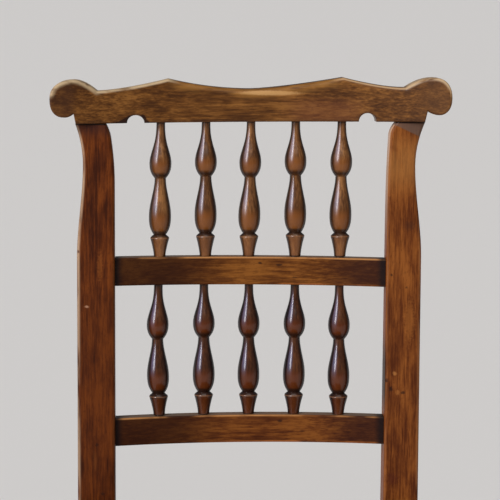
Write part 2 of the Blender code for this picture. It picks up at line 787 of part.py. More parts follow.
frame_level = FRAME_TOP - FIT_GAP - SEAT_RAIL_HEIGHT / 2
seat_tenon = (SEAT_RAIL_TENON_THICKNESS, SEAT_RAIL_TENON_HEIGHT, SEAT_RAIL_TENON_LENGTH)
stretcher_tenon = (STRETCHER_TENON_THICKNESS, STRETCHER_TENON_HEIGHT, STRETCHER_TENON_LENGTH)
cross_tenon = (STRETCHER_TENON_THICKNESS, STRETCHER_TENON_HEIGHT, CROSS_TENON_LENGTH)
rear_stretcher_middle = post_front(REAR_STRETCHER_LEVEL) + POST_DEPTH_FOOT / 2


def between_posts(along):
    return POST_INNER


def between_front_legs(along):
    return FRONT_LEG_ACROSS - FRONT_LEG_WIDTH / 2


def between_side_stretchers(along):
    return side_rail_across(along) - STRETCHER_THICKNESS / 2


# The back: posts, crest rail, two lower rails and the spindles between them

left_post = make_post("left_back_post", -1, post_wood)
right_post = make_post("right_back_post", 1, post_wood)
crest = make_crest(crest_wood)
cut_with(crest, make_crest_mortises())
crest_holes = [(CREST_BOTTOM - ARRIS, CREST_BOTTOM + SPINDLE_TENON_LENGTH + FIT_GAP)]
cut_with(crest, spindle_hole_cutter("crest_spindle_holes", crest_holes))

middle_rail = make_bent_rail("middle_rail", MIDDLE_RAIL_TOP, rail_wood)
lower_rail = make_bent_rail("lower_rail", LOWER_RAIL_TOP, rail_wood)
hole_depth = SPINDLE_TENON_LENGTH + FIT_GAP
middle_holes = [
    (MIDDLE_RAIL_TOP - hole_depth, MIDDLE_RAIL_TOP + ARRIS),
    (MIDDLE_RAIL_BOTTOM - ARRIS, MIDDLE_RAIL_BOTTOM + hole_depth),
]
cut_with(middle_rail, spindle_hole_cutter("middle_rail_spindle_holes", middle_holes))
lower_holes = [(LOWER_RAIL_TOP - hole_depth, LOWER_RAIL_TOP + ARRIS)]
cut_with(lower_rail, spindle_hole_cutter("lower_rail_spindle_holes", lower_holes))

place_spindles("upper", CREST_BOTTOM, MIDDLE_RAIL_TOP, upper_wood)
place_spindles("lower", MIDDLE_RAIL_BOTTOM, LOWER_RAIL_TOP, lower_wood)

# Seat frame, front legs and stretchers

side_names = {-1: "left", 1: "right"}
bar_across(
    "front_seat_rail", between_front_legs, FRONT_SEAT_RAIL_AT, SEAT_RAIL_THICKNESS, SEAT_RAIL_HEIGHT,
    seat_tenon, frame_wood, frame_level,
)
bar_across(
    "back_seat_rail", between_posts, BACK_SEAT_RAIL_BEHIND, SEAT_RAIL_THICKNESS, SEAT_RAIL_HEIGHT,
    seat_tenon, frame_wood, frame_level,
)
bar_across(
    "rear_stretcher", between_posts, rear_stretcher_middle, STRETCHER_THICKNESS, STRETCHER_HEIGHT,
    stretcher_tenon, stretcher_wood, REAR_STRETCHER_LEVEL,
)
bar_across(
    "cross_stretcher", between_side_stretchers, CROSS_STRETCHER_AT, STRETCHER_THICKNESS, STRETCHER_HEIGHT,
    cross_tenon, stretcher_wood, SIDE_STRETCHER_LEVEL,
)

front_legs = {}
side_stretchers = {}
for side, side_name in side_names.items():
    front_legs[side] = make_front_leg(side_name + "_front_leg", side, leg_wood)
    bar_along(
        side_name + "_seat_rail", side, frame_level, SEAT_RAIL_THICKNESS, SEAT_RAIL_HEIGHT,
        seat_tenon, frame_wood,
    )
    side_stretchers[side] = bar_along(
        side_name + "_side_stretcher", side, SIDE_STRETCHER_LEVEL, STRETCHER_THICKNESS, STRETCHER_HEIGHT,
        stretcher_tenon, stretcher_wood,
    )

# Mortises


def add_cross_mortise(shape, side, face, middle, level, tenon):
    """Hole for the tenon of a bar along X. The hole starts just outside the face."""
    thickness, tenon_height, length = tenon
    places = sorted((side * (face - ARRIS), side * (face + length + FIT_GAP)))
    half_thickness = thickness / 2 + FIT_GAP
    half_height = tenon_height / 2 + FIT_GAP
    low = (places[0], middle - half_thickness, level - half_height)
    high = (places[1], middle + half_thickness, level + half_height)
    add_block(shape, low, high)


for side, post in ((-1, left_post), (1, right_post)):
    side_name = side_names[side]
    frame_cuts = bmesh.new()
    add_cross_mortise(frame_cuts, side, POST_INNER, BACK_SEAT_RAIL_BEHIND, frame_level, seat_tenon)
    add_cross_mortise(frame_cuts, side, POST_INNER, rear_stretcher_middle, REAR_STRETCHER_LEVEL, stretcher_tenon)
    add_slanted_mortise(frame_cuts, side, frame_level, seat_tenon, post_front, 1)
    add_slanted_mortise(frame_cuts, side, SIDE_STRETCHER_LEVEL, stretcher_tenon, post_front, 1)
    cut_with(post, make_cutter(object_from(side_name + "_post_frame_mortises", frame_cuts)))

    back_cuts = bmesh.new()
    rail_tenon = (RAIL_TENON_THICKNESS, RAIL_TENON_HEIGHT, RAIL_TENON_LENGTH)
    for top in (MIDDLE_RAIL_TOP, LOWER_RAIL_TOP):
        add_cross_mortise(
            back_cuts, side, POST_INNER, arc_behind(POST_INNER - FIT_GAP), top - RAIL_HEIGHT / 2, rail_tenon
        )
    back_cutter = object_from(side_name + "_post_rail_mortises", back_cuts, None, back_frame)
    cut_with(post, make_cutter(back_cutter))

    leg_cuts = bmesh.new()
    add_cross_mortise(leg_cuts, side, between_front_legs(0.0), FRONT_SEAT_RAIL_AT, frame_level, seat_tenon)
    add_slanted_mortise(leg_cuts, side, frame_level, seat_tenon, front_leg_back, -1)
    add_slanted_mortise(leg_cuts, side, SIDE_STRETCHER_LEVEL, stretcher_tenon, front_leg_back, -1)
    cut_with(front_legs[side], make_cutter(object_from(side_name + "_leg_mortises", leg_cuts)))

    stretcher_cuts = bmesh.new()
    stretcher_face = between_side_stretchers(CROSS_STRETCHER_AT)
    add_cross_mortise(stretcher_cuts, side, stretcher_face, CROSS_STRETCHER_AT, SIDE_STRETCHER_LEVEL, cross_tenon)
    cut_with(side_stretchers[side], make_cutter(object_from(side_name + "_stretcher_mortise", stretcher_cuts)))

# Seat board, blocks and screws

seat_board = make_seat_board(seat_wood)
for side, side_name in side_names.items():
    for at_front, end_name in ((False, "back"), (True, "front")):
        corner = end_name + "_" + side_name
        block = make_block(corner + "_block", side, at_front, block_wood)
        make_screw(corner + "_screw", side, at_front, screw_steel)
        screw_hole = make_screw_hole(corner + "_screw_hole", side, at_front, screw_steel)
        cut_with(block, screw_hole)
        cut_with(seat_board, screw_hole)

for round_piece in (left_post, right_post, crest, middle_rail, lower_rail):
    shade_round(round_piece)

# Set the chair's footprint on the origin

bpy.context.view_layer.update()
reach = []
for piece in bpy.data.objects:
    if piece.type == "MESH" and not piece.hide_render:
        reach += [(piece.matrix_world @ vertex.co).y for vertex in piece.data.vertices]
shift = -(min(reach) + max(reach)) / 2
for piece in bpy.data.objects:
    if piece.parent is None:
        piece.location.y += shift
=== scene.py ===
import math

import bpy
from mathutils import Matrix, Vector


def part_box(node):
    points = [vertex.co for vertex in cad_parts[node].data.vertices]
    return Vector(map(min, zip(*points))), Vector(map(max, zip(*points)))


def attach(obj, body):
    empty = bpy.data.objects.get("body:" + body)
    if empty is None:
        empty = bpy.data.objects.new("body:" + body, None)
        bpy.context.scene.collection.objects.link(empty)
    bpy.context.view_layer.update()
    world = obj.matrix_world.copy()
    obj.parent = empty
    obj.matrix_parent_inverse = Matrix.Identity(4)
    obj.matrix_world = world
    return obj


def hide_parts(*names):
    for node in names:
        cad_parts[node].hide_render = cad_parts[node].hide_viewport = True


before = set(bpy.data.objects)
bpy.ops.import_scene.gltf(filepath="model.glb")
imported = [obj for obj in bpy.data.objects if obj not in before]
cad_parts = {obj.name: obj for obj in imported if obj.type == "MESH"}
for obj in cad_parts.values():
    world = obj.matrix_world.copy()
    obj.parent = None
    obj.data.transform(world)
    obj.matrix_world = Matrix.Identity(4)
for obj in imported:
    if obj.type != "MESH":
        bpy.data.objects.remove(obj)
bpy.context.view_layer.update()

# Back posts
# The two back posts are long pieces of beech, sawn to shape, stained red brown and varnished.
# They run on below the seat as the splayed rear legs, and take the crest rail on a tenon at the top.

SEAT_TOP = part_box("seat_board")[1].z
ORIGIN = (0.0, 0.0, 0.0)
BACK_LEAN = math.radians(7.0)
LEG_BEND = math.radians(13.0)
SEAT_BOARD_BEHIND = 0.030
BACK_PLACE = Vector((0.0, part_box("seat_board")[1].y - SEAT_BOARD_BEHIND, SEAT_TOP))

POST_FOOT_NARROWING = 0.0071
POST_TOP = 0.4377
POST_WAIST = 0.392
POST_WAIST_START = 0.290
POST_DEPTH_FOOT = 0.0305
POST_DEPTH_SEAT = 0.036
POST_DEPTH_TOP = 0.020
POST_ELBOW = 0.030
POST_LIP = 0.015
POST_SAWN_LENGTH = 0.450
POST_FRONT_ROUNDING = 0.0038
POST_BACK_ROUNDING = 0.0022
LEFT_POST = {
    "side": -1, "inner": 0.1485, "outer": 0.1898, "waist": 0.0069, "outer_flare": 0.0087,
    "flare_from": 0.370, "flare": 0.0068, "lip": 0.0027, "top": 0.4363,
}
RIGHT_POST = {
    "side": 1, "inner": 0.1498, "outer": 0.1886, "waist": 0.0079, "outer_flare": 0.0095,
    "flare_from": 0.335, "flare": 0.0028, "lip": 0.0062, "top": 0.4393,
}


def eased(share):
    """Slow at both ends, from 0 to 1."""
    held = min(max(share, 0.0), 1.0)
    return held * held * (3.0 - 2.0 * held)


def post_section(shape, up_back):
    """Middle across, middle behind, width and depth of a post at a distance up the back."""
    waist = eased((up_back - POST_WAIST_START) / (POST_WAIST - POST_WAIST_START))
    outer = shape["outer"] - shape["waist"] * waist
    inner = shape["inner"]
    front = 0.0
    depth = POST_DEPTH_SEAT + (POST_DEPTH_TOP - POST_DEPTH_SEAT) * up_back / POST_TOP
    if up_back < 0.0:
        share = -up_back / SEAT_TOP
        outer -= POST_FOOT_NARROWING * share
        depth = POST_DEPTH_SEAT + (POST_DEPTH_FOOT - POST_DEPTH_SEAT) * share
    if up_back > POST_WAIST:
        outer += shape["outer_flare"] * ((up_back - POST_WAIST) / (POST_TOP - POST_WAIST)) ** 2
    if up_back > shape["flare_from"]:
        inner += shape["flare"] * ((up_back - shape["flare_from"]) / (POST_TOP - shape["flare_from"])) ** 2
    if up_back > shape["top"] - POST_LIP:
        inner += shape["lip"] * ((up_back - shape["top"] + POST_LIP) / POST_LIP) ** 2
    if up_back < -POST_ELBOW:
        front = -up_back * math.tan(LEG_BEND)
    elif up_back < POST_ELBOW:
        front = math.tan(LEG_BEND) * (POST_ELBOW - up_back) ** 2 / (4 * POST_ELBOW)
    return shape["side"] * (inner + outer) / 2, front + depth / 2, outer - inner, depth


def open_new(add_primitive, **settings):
    """Add a primitive with nothing else selected, and leave it open for editing."""
    bpy.ops.object.select_all(action="DESELECT")
    add_primitive(enter_editmode=True, **settings)


def take_up(piece):
    """Select one piece alone and make it the active one."""
    bpy.ops.object.select_all(action="DESELECT")
    piece.select_set(True)
    bpy.context.view_layer.objects.active = piece


def close_as(name):
    """Turn all faces outwards, leave edit mode and name the piece."""
    bpy.ops.mesh.select_all(action="SELECT")
    bpy.ops.mesh.normals_make_consistent(inside=False)
    bpy.ops.object.mode_set(mode="OBJECT")
    piece = bpy.context.object
    piece.name = name
    piece.data.name = name
    return piece


def draw_out(name, stations, along="Z"):
    """Lay a flat face at the first station and pull it through the rest. Each is a middle and a size."""
    open_new(bpy.ops.mesh.primitive_plane_add, size=1.0)
    if along != "Z":
        turned_about = {"X": "Y", "Y": "X"}[along]
        bpy.ops.transform.rotate(value=math.pi / 2, orient_axis=turned_about, center_override=ORIGIN)
    bpy.ops.transform.resize(value=stations[0][1], center_override=ORIGIN)
    bpy.ops.transform.translate(value=stations[0][0])
    for (place, size), (next_place, next_size) in zip(stations, stations[1:]):
        bpy.ops.mesh.extrude_region_move(TRANSFORM_OT_translate={"value": next_place - place})
        growth = [after / before for after, before in zip(next_size, size)]
        bpy.ops.transform.resize(value=growth, center_override=next_place)
    return close_as(name)


def apply_as_made(piece, modifier):
    bpy.context.view_layer.objects.active = piece
    bpy.ops.object.modifier_apply(modifier=modifier.name)


def round_arrises(piece, width_at, steps=3, held_back=True):
    """Round each edge over by the width that width_at gives for its two ends, as a scraper and hands do."""
    widths = []
    for edge in piece.data.edges:
        first, second = [piece.data.vertices[place].co for place in edge.vertices]
        widths.append(width_at(first, second))
    widest = max(widths)
    weights = piece.data.attributes.new("bevel_weight_edge", "FLOAT", "EDGE")
    weights.data.foreach_set("value", [width / widest for width in widths])
    modifier = piece.modifiers.new("rounded_arrises", "BEVEL")
    modifier.width = widest
    modifier.segments = steps
    modifier.limit_method = "WEIGHT"
    modifier.use_clamp_overlap = held_back
    apply_as_made(piece, modifier)


def smooth_over(piece, crease=50.0):
    """Shade the rounded arrises as curves while the flats stay flat."""
    take_up(piece)
    bpy.ops.object.shade_smooth_by_angle(angle=math.radians(crease))
    modifier = piece.modifiers.new("flats_stay_flat", "WEIGHTED_NORMAL")
    modifier.keep_sharp = True
    apply_as_made(piece, modifier)


def settle(piece, place=(0.0, 0.0, 0.0), lean=0.0, sway=0.0):
    """Put a piece in its place, leaning back or to one side, and keep the place in its mesh."""
    take_up(piece)
    piece.location = place
    piece.rotation_euler = (-lean, sway, 0.0)
    bpy.ops.object.transform_apply(location=True, rotation=True, scale=True)


def wear_foot(piece, middle):
    """Take the sharp rim off the end that stands on the floor."""
    bpy.context.view_layer.objects.active = piece
    bpy.ops.object.mode_set(mode="EDIT")
    bpy.ops.mesh.select_all(action="SELECT")
    bpy.ops.mesh.bisect(plane_co=(0.0, 0.0, 0.003), plane_no=(0.0, 0.0, 1.0))
    bpy.ops.mesh.select_all(action="DESELECT")
    bpy.ops.object.mode_set(mode="OBJECT")
    for face in piece.data.polygons:
        face.select = face.center.z < 0.0001
    bpy.ops.object.mode_set(mode="EDIT")
    bpy.ops.transform.resize(value=(0.88, 0.88, 1.0), center_override=middle)
    return close_as(piece.name)


def mark_section(piece, along, section_at):
    """Keep on each point its share across the section, its share through it, and its distance along."""
    places = []
    for vertex in piece.data.vertices:
        run = vertex.co[along]
        first, second = [axis for axis in range(3) if axis != along]
        middle_first, middle_second, size_first, size_second = section_at(run)
        places.append((vertex.co[first] - middle_first) / (size_first / 2))
        places.append((vertex.co[second] - middle_second) / (size_second / 2))
        places.append(run)
    marks = piece.data.attributes.new("section", "FLOAT_VECTOR", "POINT")
    marks.data.foreach_set("vector", places)


def colour_of(red, green, blue):
    """A colour as a painter reads it off a swatch, from 0 to 255, for a shader socket."""
    channels = []
    for level in (red, green, blue):
        share = level / 255
        channels.append(share / 12.92 if share <= 0.04045 else ((share + 0.055) / 1.055) ** 2.4)
    return (*channels, 1.0)


def fill_socket(tree, socket, value):
    if isinstance(value, bpy.types.NodeSocket):
        tree.links.new(value, socket)
    else:
        socket.default_value = value


class Finish:
    """A material under the brush: its nodes, the place on its grain, and the colour laid on so far."""

    def __init__(self, name, leaning=False):
        self.material = bpy.data.materials.new(name)
        self.material.use_nodes = True
        self.tree = self.material.node_tree
        self.shader = self.tree.nodes["Principled BSDF"]
        self.place = self.grain_space(BACK_LEAN if leaning else 0.0)

    def put(self, kind, sockets=None, **settings):
        """Add a shader node, set it up, and fill its sockets with values or with other nodes' outputs."""
        node = self.tree.nodes.new(kind)
        for setting, value in settings.items():
            setattr(node, setting, value)
        for socket, value in (sockets or {}).items():
            fill_socket(self.tree, node.inputs[socket], value)
        return node

    def give(self, socket, value):
        fill_socket(self.tree, self.shader.inputs[socket], value)

    def grain_space(self, lean):
        """Coordinates in metres that stand upright with the piece: across, behind, and up from the seat."""
        place = self.put("ShaderNodeTexCoord").outputs["Object"]
        behind = BACK_PLACE.y * math.cos(lean) - BACK_PLACE.z * math.sin(lean)
        up = BACK_PLACE.y * math.sin(lean) + BACK_PLACE.z * math.cos(lean)
        sockets = {"Vector": place, "Rotation": (lean, 0.0, 0.0), "Location": (0.0, -behind, -up)}
        return self.put("ShaderNodeMapping", sockets).outputs["Vector"]

    def parts(self, vector):
        return self.put("ShaderNodeSeparateXYZ", {"Vector": vector}).outputs

    def section(self):
        """The three measures that the points of the piece keep of their own place in its section."""
        return self.parts(self.put("ShaderNodeAttribute", attribute_name="section").outputs["Vector"])

    def reckon(self, operation, *values):
        return self.put("ShaderNodeMath", dict(enumerate(values)), operation=operation).outputs[0]

    def reckon_vector(self, operation, *values):
        return self.put("ShaderNodeVectorMath", dict(enumerate(values)), operation=operation).outputs

    def times(self, *values):
        product = values[0]
        for value in values[1:]:
            product = self.reckon("MULTIPLY", product, value)
        return product

    def between(self, value, low, high, at_low=0.0, at_high=1.0):
        """Share of the way from low to high, eased and held at both ends."""
        sockets = {"Value": value, "From Min": low, "From Max": high, "To Min": at_low, "To Max": at_high}
        return self.put("ShaderNodeMapRange", sockets, interpolation_type="SMOOTHSTEP").outputs["Result"]

    def stretch(self, value, low, high, soft):
        """Share of 1 from low to high, fading out over a soft distance at both ends."""
        rising = self.between(value, low - soft, low + soft)
        return self.times(rising, self.between(value, high + soft, high - soft))

    def noise(self, across, lengthwise, along, detail=3.0, roughness=0.55, twist=0.0, place=None):
        """Noise stretched along the grain. Across and lengthwise are its features per metre."""
        scale = [across, across, across]
        scale[along] = lengthwise
        grain = self.place if place is None else place
        stretched = self.reckon_vector("MULTIPLY", grain, scale)["Vector"]
        sockets = {"Vector": stretched, "Scale": 1.0, "Detail": detail, "Roughness": roughness}
        return self.put("ShaderNodeTexNoise", {**sockets, "Distortion": twist}).outputs["Fac"]

    def spot(self, middle, half_size, ragged=0.5):
        """Share of a mark such as a knot or a chip, from its middle and its half sizes in metres."""
        away = self.reckon_vector("SUBTRACT", self.place, middle)["Vector"]
        far = self.reckon_vector("LENGTH", self.reckon_vector("DIVIDE", away, half_size)["Vector"])["Value"]
        raggedness = self.times(self.noise(420.0, 420.0, 0, 2.0), ragged)
        return self.between(self.reckon("ADD", far, raggedness), 1.25, 0.70)

    def paint(self, tone, *shares):
        """Lay a tone over the colour so far, by the product of the shares."""
        sockets = {0: self.times(*shares), 6: self.colour, 7: colour_of(*tone)}
        self.colour = self.put("ShaderNodeMix", sockets, data_type="RGBA").outputs[2]

    def grow(self, along, deep, middle, pale):
        """Stained beech: clouds of stain, streaks and fibres along the grain, and short dark flecks."""
        clouds = self.noise(34.0, 13.0, along, 5.0, 0.66, 0.2)
        streaks = self.noise(150.0, 7.0, along, 3.0, 0.6, 0.1)
        threads = self.noise(460.0, 24.0, along, 2.0, 0.6)
        self.fibres = self.noise(1100.0, 60.0, along, 2.0)
        mixed = self.reckon("ADD", self.times(clouds, 0.42), self.times(streaks, 0.18))
        mixed = self.reckon("ADD", mixed, self.times(threads, 0.24))
        mixed = self.reckon("ADD", mixed, self.times(self.fibres, 0.16))
        ramp = self.put("ShaderNodeValToRGB", {"Fac": mixed})
        ramp.color_ramp.elements[0].position = 0.43
        ramp.color_ramp.elements[0].color = colour_of(*deep)
        ramp.color_ramp.elements[1].position = 0.57
        ramp.color_ramp.elements[1].color = colour_of(*pale)
        ramp.color_ramp.elements.new(0.50).color = colour_of(*middle)
        self.colour = ramp.outputs["Color"]
        self.paint(deep, self.between(self.noise(700.0, 170.0, along, 1.0), 0.58, 0.70), 0.40)

    def varnish(self, roughness, gloss, coat, coat_roughness, depth=0.0001):
        """Join the colour to the shader, with an old thin varnish that has sunk into the grain."""
        bump = self.put("ShaderNodeBump", {"Strength": 0.5, "Distance": depth, "Height": self.fibres})
        self.give("Base Color", self.colour)
        self.give("Roughness", self.between(self.fibres, 0.3, 0.7, roughness - 0.06, roughness + 0.08))
        self.give("Normal", bump.outputs["Normal"])
        self.give("Specular IOR Level", gloss)
        self.give("Coat Weight", coat)
        self.give("Coat Roughness", coat_roughness)
        return self.material


def post_wood(name, shape, tones, outer_arris_tone, inner_arris_tone, marks):
    """Marks are the spots that age has left: middle, half size, strength and colour of each."""
    wood = Finish(name, leaning=True)
    wood.grow(2, *tones)
    sideways, through = wood.section()[:2]
    outwards = wood.times(sideways, float(shape["side"]))
    front = wood.between(through, -0.62, -0.90)
    patchy = wood.between(wood.noise(110.0, 16.0, 2), 0.34, 0.56)
    # Worn arrises, painted paler; the left post's outer arris, which faces the window, is painted paler still
    # as painted light.
    wood.paint(outer_arris_tone, wood.between(outwards, 0.79, 0.93), patchy, front, 0.72)
    wood.paint(inner_arris_tone, wood.between(outwards, -0.86, -0.95), front, patchy, 0.32)
    for middle, half_size, strength, tone in marks:
        wood.paint(tone, wood.spot(middle, half_size, 1.0), strength)
    return wood


def left_post_wood(name):
    """The left post darkens towards the seat, and its top is painted darker as the shade of the ear."""
    tones = ((56, 22, 6), (86, 39, 10), (110, 54, 15))
    wood = post_wood(name, LEFT_POST, tones, (186, 154, 122), (156, 96, 46), left_marks)
    up_back = wood.section()["Z"]
    top = LEFT_POST["top"]
    wood.paint((58, 24, 6), wood.between(up_back, 0.300, 0.170), 0.26)
    # Painted shade of the crest's ear on the top of the post.
    wood.paint((46, 26, 24), wood.between(up_back, top - 0.020, top - 0.002), 0.62)
    wood.paint(GRIME_AND_SHADE, wood.between(up_back, top - 0.0016, top - 0.0008))
    return wood.varnish(0.44, *THIN_POLISH)


def right_post_wood(name):
    """The right post is redder and golden near its top. Its inner side face is painted pale near the top as
    the window's light and its reflection, and dark lower down as a painted dark reflection, and a painted
    grey wedge of the crest's shadow lies on its top.
    """
    tones = ((76, 34, 11), (107, 56, 20), (136, 78, 31))
    wood = post_wood(name, RIGHT_POST, tones, (150, 100, 62), (172, 116, 70), right_marks)
    sideways, through, up_back = wood.section()
    upright = wood.parts(wood.place)
    top = RIGHT_POST["top"]
    side_face = wood.between(sideways, -0.94, -0.985)
    # The inner side face is painted orange, then pale near the top as the window's light and its reflection,
    # and near black lower down as a painted dark reflection.
    wood.paint((124, 58, 8), side_face, 0.70)
    wood.paint((200, 166, 138), side_face, wood.between(up_back, 0.290, 0.410), 0.85)
    wood.paint((26, 10, 5), side_face, wood.stretch(up_back, 0.125, 0.190, 0.020), 0.90)
    mottled = wood.between(wood.noise(60.0, 20.0, 2), 0.3, 0.5)
    wood.paint((164, 112, 58), wood.stretch(up_back, 0.372, 0.416, 0.018), mottled, 0.40)
    # A painted grey wedge of the crest's shadow on the top of the post.
    wedge_start = top - 0.004 + WEDGE_SLOPE * WEDGE_AT
    wedge_line = wood.reckon("MULTIPLY_ADD", upright["X"], -WEDGE_SLOPE, wedge_start)
    wedge = wood.between(wood.reckon("SUBTRACT", upright["Z"], wedge_line), -0.0008, 0.0010)
    wood.paint(CREST_SHADOW_GREY, wedge, wood.between(through, -0.2, -0.8), 0.8)
    wood.paint(GRIME_AND_SHADE, wood.between(up_back, top - 0.0016, top - 0.0008))
    return wood.varnish(0.44, *THIN_POLISH)


def make_post(name, shape, material):
    stations = []
    levels = [-POST_SAWN_LENGTH, -0.30, -0.15]
    levels += [POST_ELBOW * (step / 3 - 1) for step in range(7)]
    levels += [0.08, 0.14, 0.20, 0.25]
    levels += [POST_WAIST_START + 0.0068 * step for step in range(20)]
    levels += [shape["top"] - POST_LIP * (1 - step / 7) for step in range(8)]
    for level in levels:
        across, behind, width, depth = post_section(shape, level)
        stations.append((Vector((across, behind, level)), (width, depth, 1.0)))
    post = draw_out(name, stations)

    def width_at(first, second):
        if abs(first.z - second.z) < 0.0005:
            return 0.0
        behind = post_section(shape, (first.z + second.z) / 2)[1]
        return POST_FRONT_ROUNDING if first.y < behind else POST_BACK_ROUNDING

    round_arrises(post, width_at, 4)
    mark_section(post, 2, lambda up_back: post_section(shape, up_back))
    settle(post, BACK_PLACE, BACK_LEAN)
    bpy.ops.object.mode_set(mode="EDIT")
    bpy.ops.mesh.select_all(action="SELECT")
    bpy.ops.mesh.bisect(plane_co=(0.0, 0.0, 0.0), plane_no=(0.0, 0.0, 1.0), use_fill=True, clear_inner=True)
    close_as(name)
    standing = [vertex.co for vertex in post.data.vertices if vertex.co.z < 0.0001]
    wear_foot(post, sum(standing, Vector()) / len(standing))
    smooth_over(post)
    post.data.materials.append(material)
    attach(post, "root")
    return post


# Dark dirt of joints and flecks, also laid on as painted shade in creases and under edges.
GRIME_AND_SHADE = (34, 19, 14)
# Grey of the crest's painted shadow on the right post's top.
CREST_SHADOW_GREY = (96, 76, 64)
THIN_POLISH = (0.10, 0.04, 0.30)
WEDGE_SLOPE = 0.46
WEDGE_AT = 0.1595

left_marks = [
    ((-0.1879, 0.002, 0.2968), (0.0030, 0.0060, 0.0040), 0.8, (70, 30, 14)),
    ((-0.1790, 0.000, 0.2361), (0.0042, 0.0060, 0.0026), 0.7, (188, 142, 110)),
    ((-0.1685, 0.000, 0.0822), (0.0036, 0.0060, 0.0040), 0.7, GRIME_AND_SHADE),
    ((-0.1620, 0.000, 0.0270), (0.0040, 0.0060, 0.0034), 0.7, GRIME_AND_SHADE),
    ((-0.1707, 0.000, 0.0642), (0.0040, 0.0060, 0.0200), 0.45, (120, 66, 26)),
    ((-0.1646, 0.000, 0.2803), (0.0056, 0.0060, 0.0280), 0.45, (134, 74, 28)),
]
right_marks = [
    ((0.1556, 0.000, 0.2714), (0.0028, 0.0060, 0.0028), 0.7, GRIME_AND_SHADE),
    ((0.1724, 0.000, 0.2575), (0.0026, 0.0060, 0.0028), 0.6, GRIME_AND_SHADE),
    ((0.1512, 0.000, 0.1534), (0.0048, 0.0060, 0.0042), 0.8, GRIME_AND_SHADE),
    ((0.1567, 0.000, 0.1440), (0.0044, 0.0060, 0.0048), 0.8, GRIME_AND_SHADE),
    ((0.1700, 0.000, 0.1400), (0.0050, 0.0060, 0.0036), 0.7, GRIME_AND_SHADE),
    ((0.1606, 0.000, 0.1612), (0.0040, 0.0060, 0.0040), 0.6, (176, 116, 60)),
    ((0.1640, 0.000, 0.1400), (0.0040, 0.0060, 0.0060), 0.5, (160, 100, 48)),
    ((0.1753, 0.000, 0.3256), (0.0110, 0.0060, 0.0090), 0.40, (60, 34, 22)),
    ((0.1760, 0.000, 0.2200), (0.0110, 0.0060, 0.0420), 0.45, (150, 90, 38)),
    ((0.1591, 0.000, 0.0425), (0.0130, 0.0060, 0.0130), 0.50, (70, 26, 16)),
]

left_post = make_post("shaped_left_post", LEFT_POST, left_post_wood("left back post wood"))
right_post = make_post("shaped_right_post", RIGHT_POST, right_post_wood("right back post wood"))
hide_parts("left_back_post")
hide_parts("right_back_post")

# Middle and lower rails
# Two beech rails bent to one arc, so that the back is hollow for the sitter, and tenoned into the posts.
# Their middles are golden brown and they darken towards both ends; right by the posts they are painted near
# black as the posts' shade.

ARC_RADIUS = 0.650
ARC_DEPTH = 0.032
RAIL_HEIGHT = 0.031
RAIL_THICKNESS = 0.020
RAIL_GAP = 0.0003
RAIL_STEPS = 36
RAIL_ROUNDING = 0.0017
LOWER_RAIL_TOP = 0.111
LOWER_RAIL_TILT = 0.0045
MIDDLE_RAIL_TOP = 0.2887
MIDDLE_RAIL_TILT = -0.0040


def arc_behind(across):
    """How far behind the posts' front faces the bent rails' centre line runs."""
    return ARC_DEPTH - (ARC_RADIUS - math.sqrt(ARC_RADIUS ** 2 - across ** 2))


def rail_wood(name, tones, lower_rub, marks):
    wood = Finish(name, leaning=True)
    wood.grow(0, *tones)
    through, up, across = wood.section()
    wood.paint((44, 19, 7), wood.between(across, -0.012, -0.090), 0.80)
    wood.paint((46, 20, 12), wood.between(across, 0.070, 0.125), 0.72)
    patchy = wood.between(wood.noise(40.0, 22.0, 0), 0.34, 0.60)
    front = wood.between(through, -0.70, -0.86)
    lower_share = wood.times(wood.between(across, -0.080, 0.030), lower_rub)
    # The upper front arris is painted golden, as wear and as painted light from above; the lower front arris
    # is worn warm.
    wood.paint((176, 122, 70), wood.between(up, 0.86, 0.94), front, patchy, 0.85)
    wood.paint((170, 100, 48), wood.between(up, -0.80, -0.93), front, patchy, lower_share)
    # The top face is painted grey brown as light from above.
    wood.paint((122, 100, 80), wood.between(up, 0.97, 0.995), wood.between(through, -0.86, -0.70), 0.60)
    for middle, half_size, strength, tone in marks:
        wood.paint(tone, wood.spot(middle, half_size), strength)
    # The last few millimetres by the posts are painted near black as the posts' shade.
    wood.paint((18, 11, 12), wood.between(wood.reckon("ABSOLUTE", across), 0.138, 0.1465), 0.85)
    return wood.varnish(0.42, *THIN_POLISH)


def make_bent_rail(name, top, tilt, material):
    left = RAIL_GAP - LEFT_POST["inner"]
    right = RIGHT_POST["inner"] - RAIL_GAP
    middle = top - RAIL_HEIGHT / 2
    stations = []
    for step in range(RAIL_STEPS + 1):
        across = left + (right - left) * step / RAIL_STEPS
        place = Vector((across, arc_behind(across), middle + tilt * across))
        stations.append((place, (1.0, RAIL_THICKNESS, RAIL_HEIGHT)))
    rail = draw_out(name, stations, "X")
    round_arrises(rail, lambda first, second: RAIL_ROUNDING if abs(first.x - second.x) > 0.002 else 0.0)
    mark_section(
        rail, 0, lambda across: (arc_behind(across), middle + tilt * across, RAIL_THICKNESS, RAIL_HEIGHT),
    )
    settle(rail, BACK_PLACE, BACK_LEAN)
    smooth_over(rail)
    rail.data.materials.append(material)
    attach(rail, "root")
    return rail


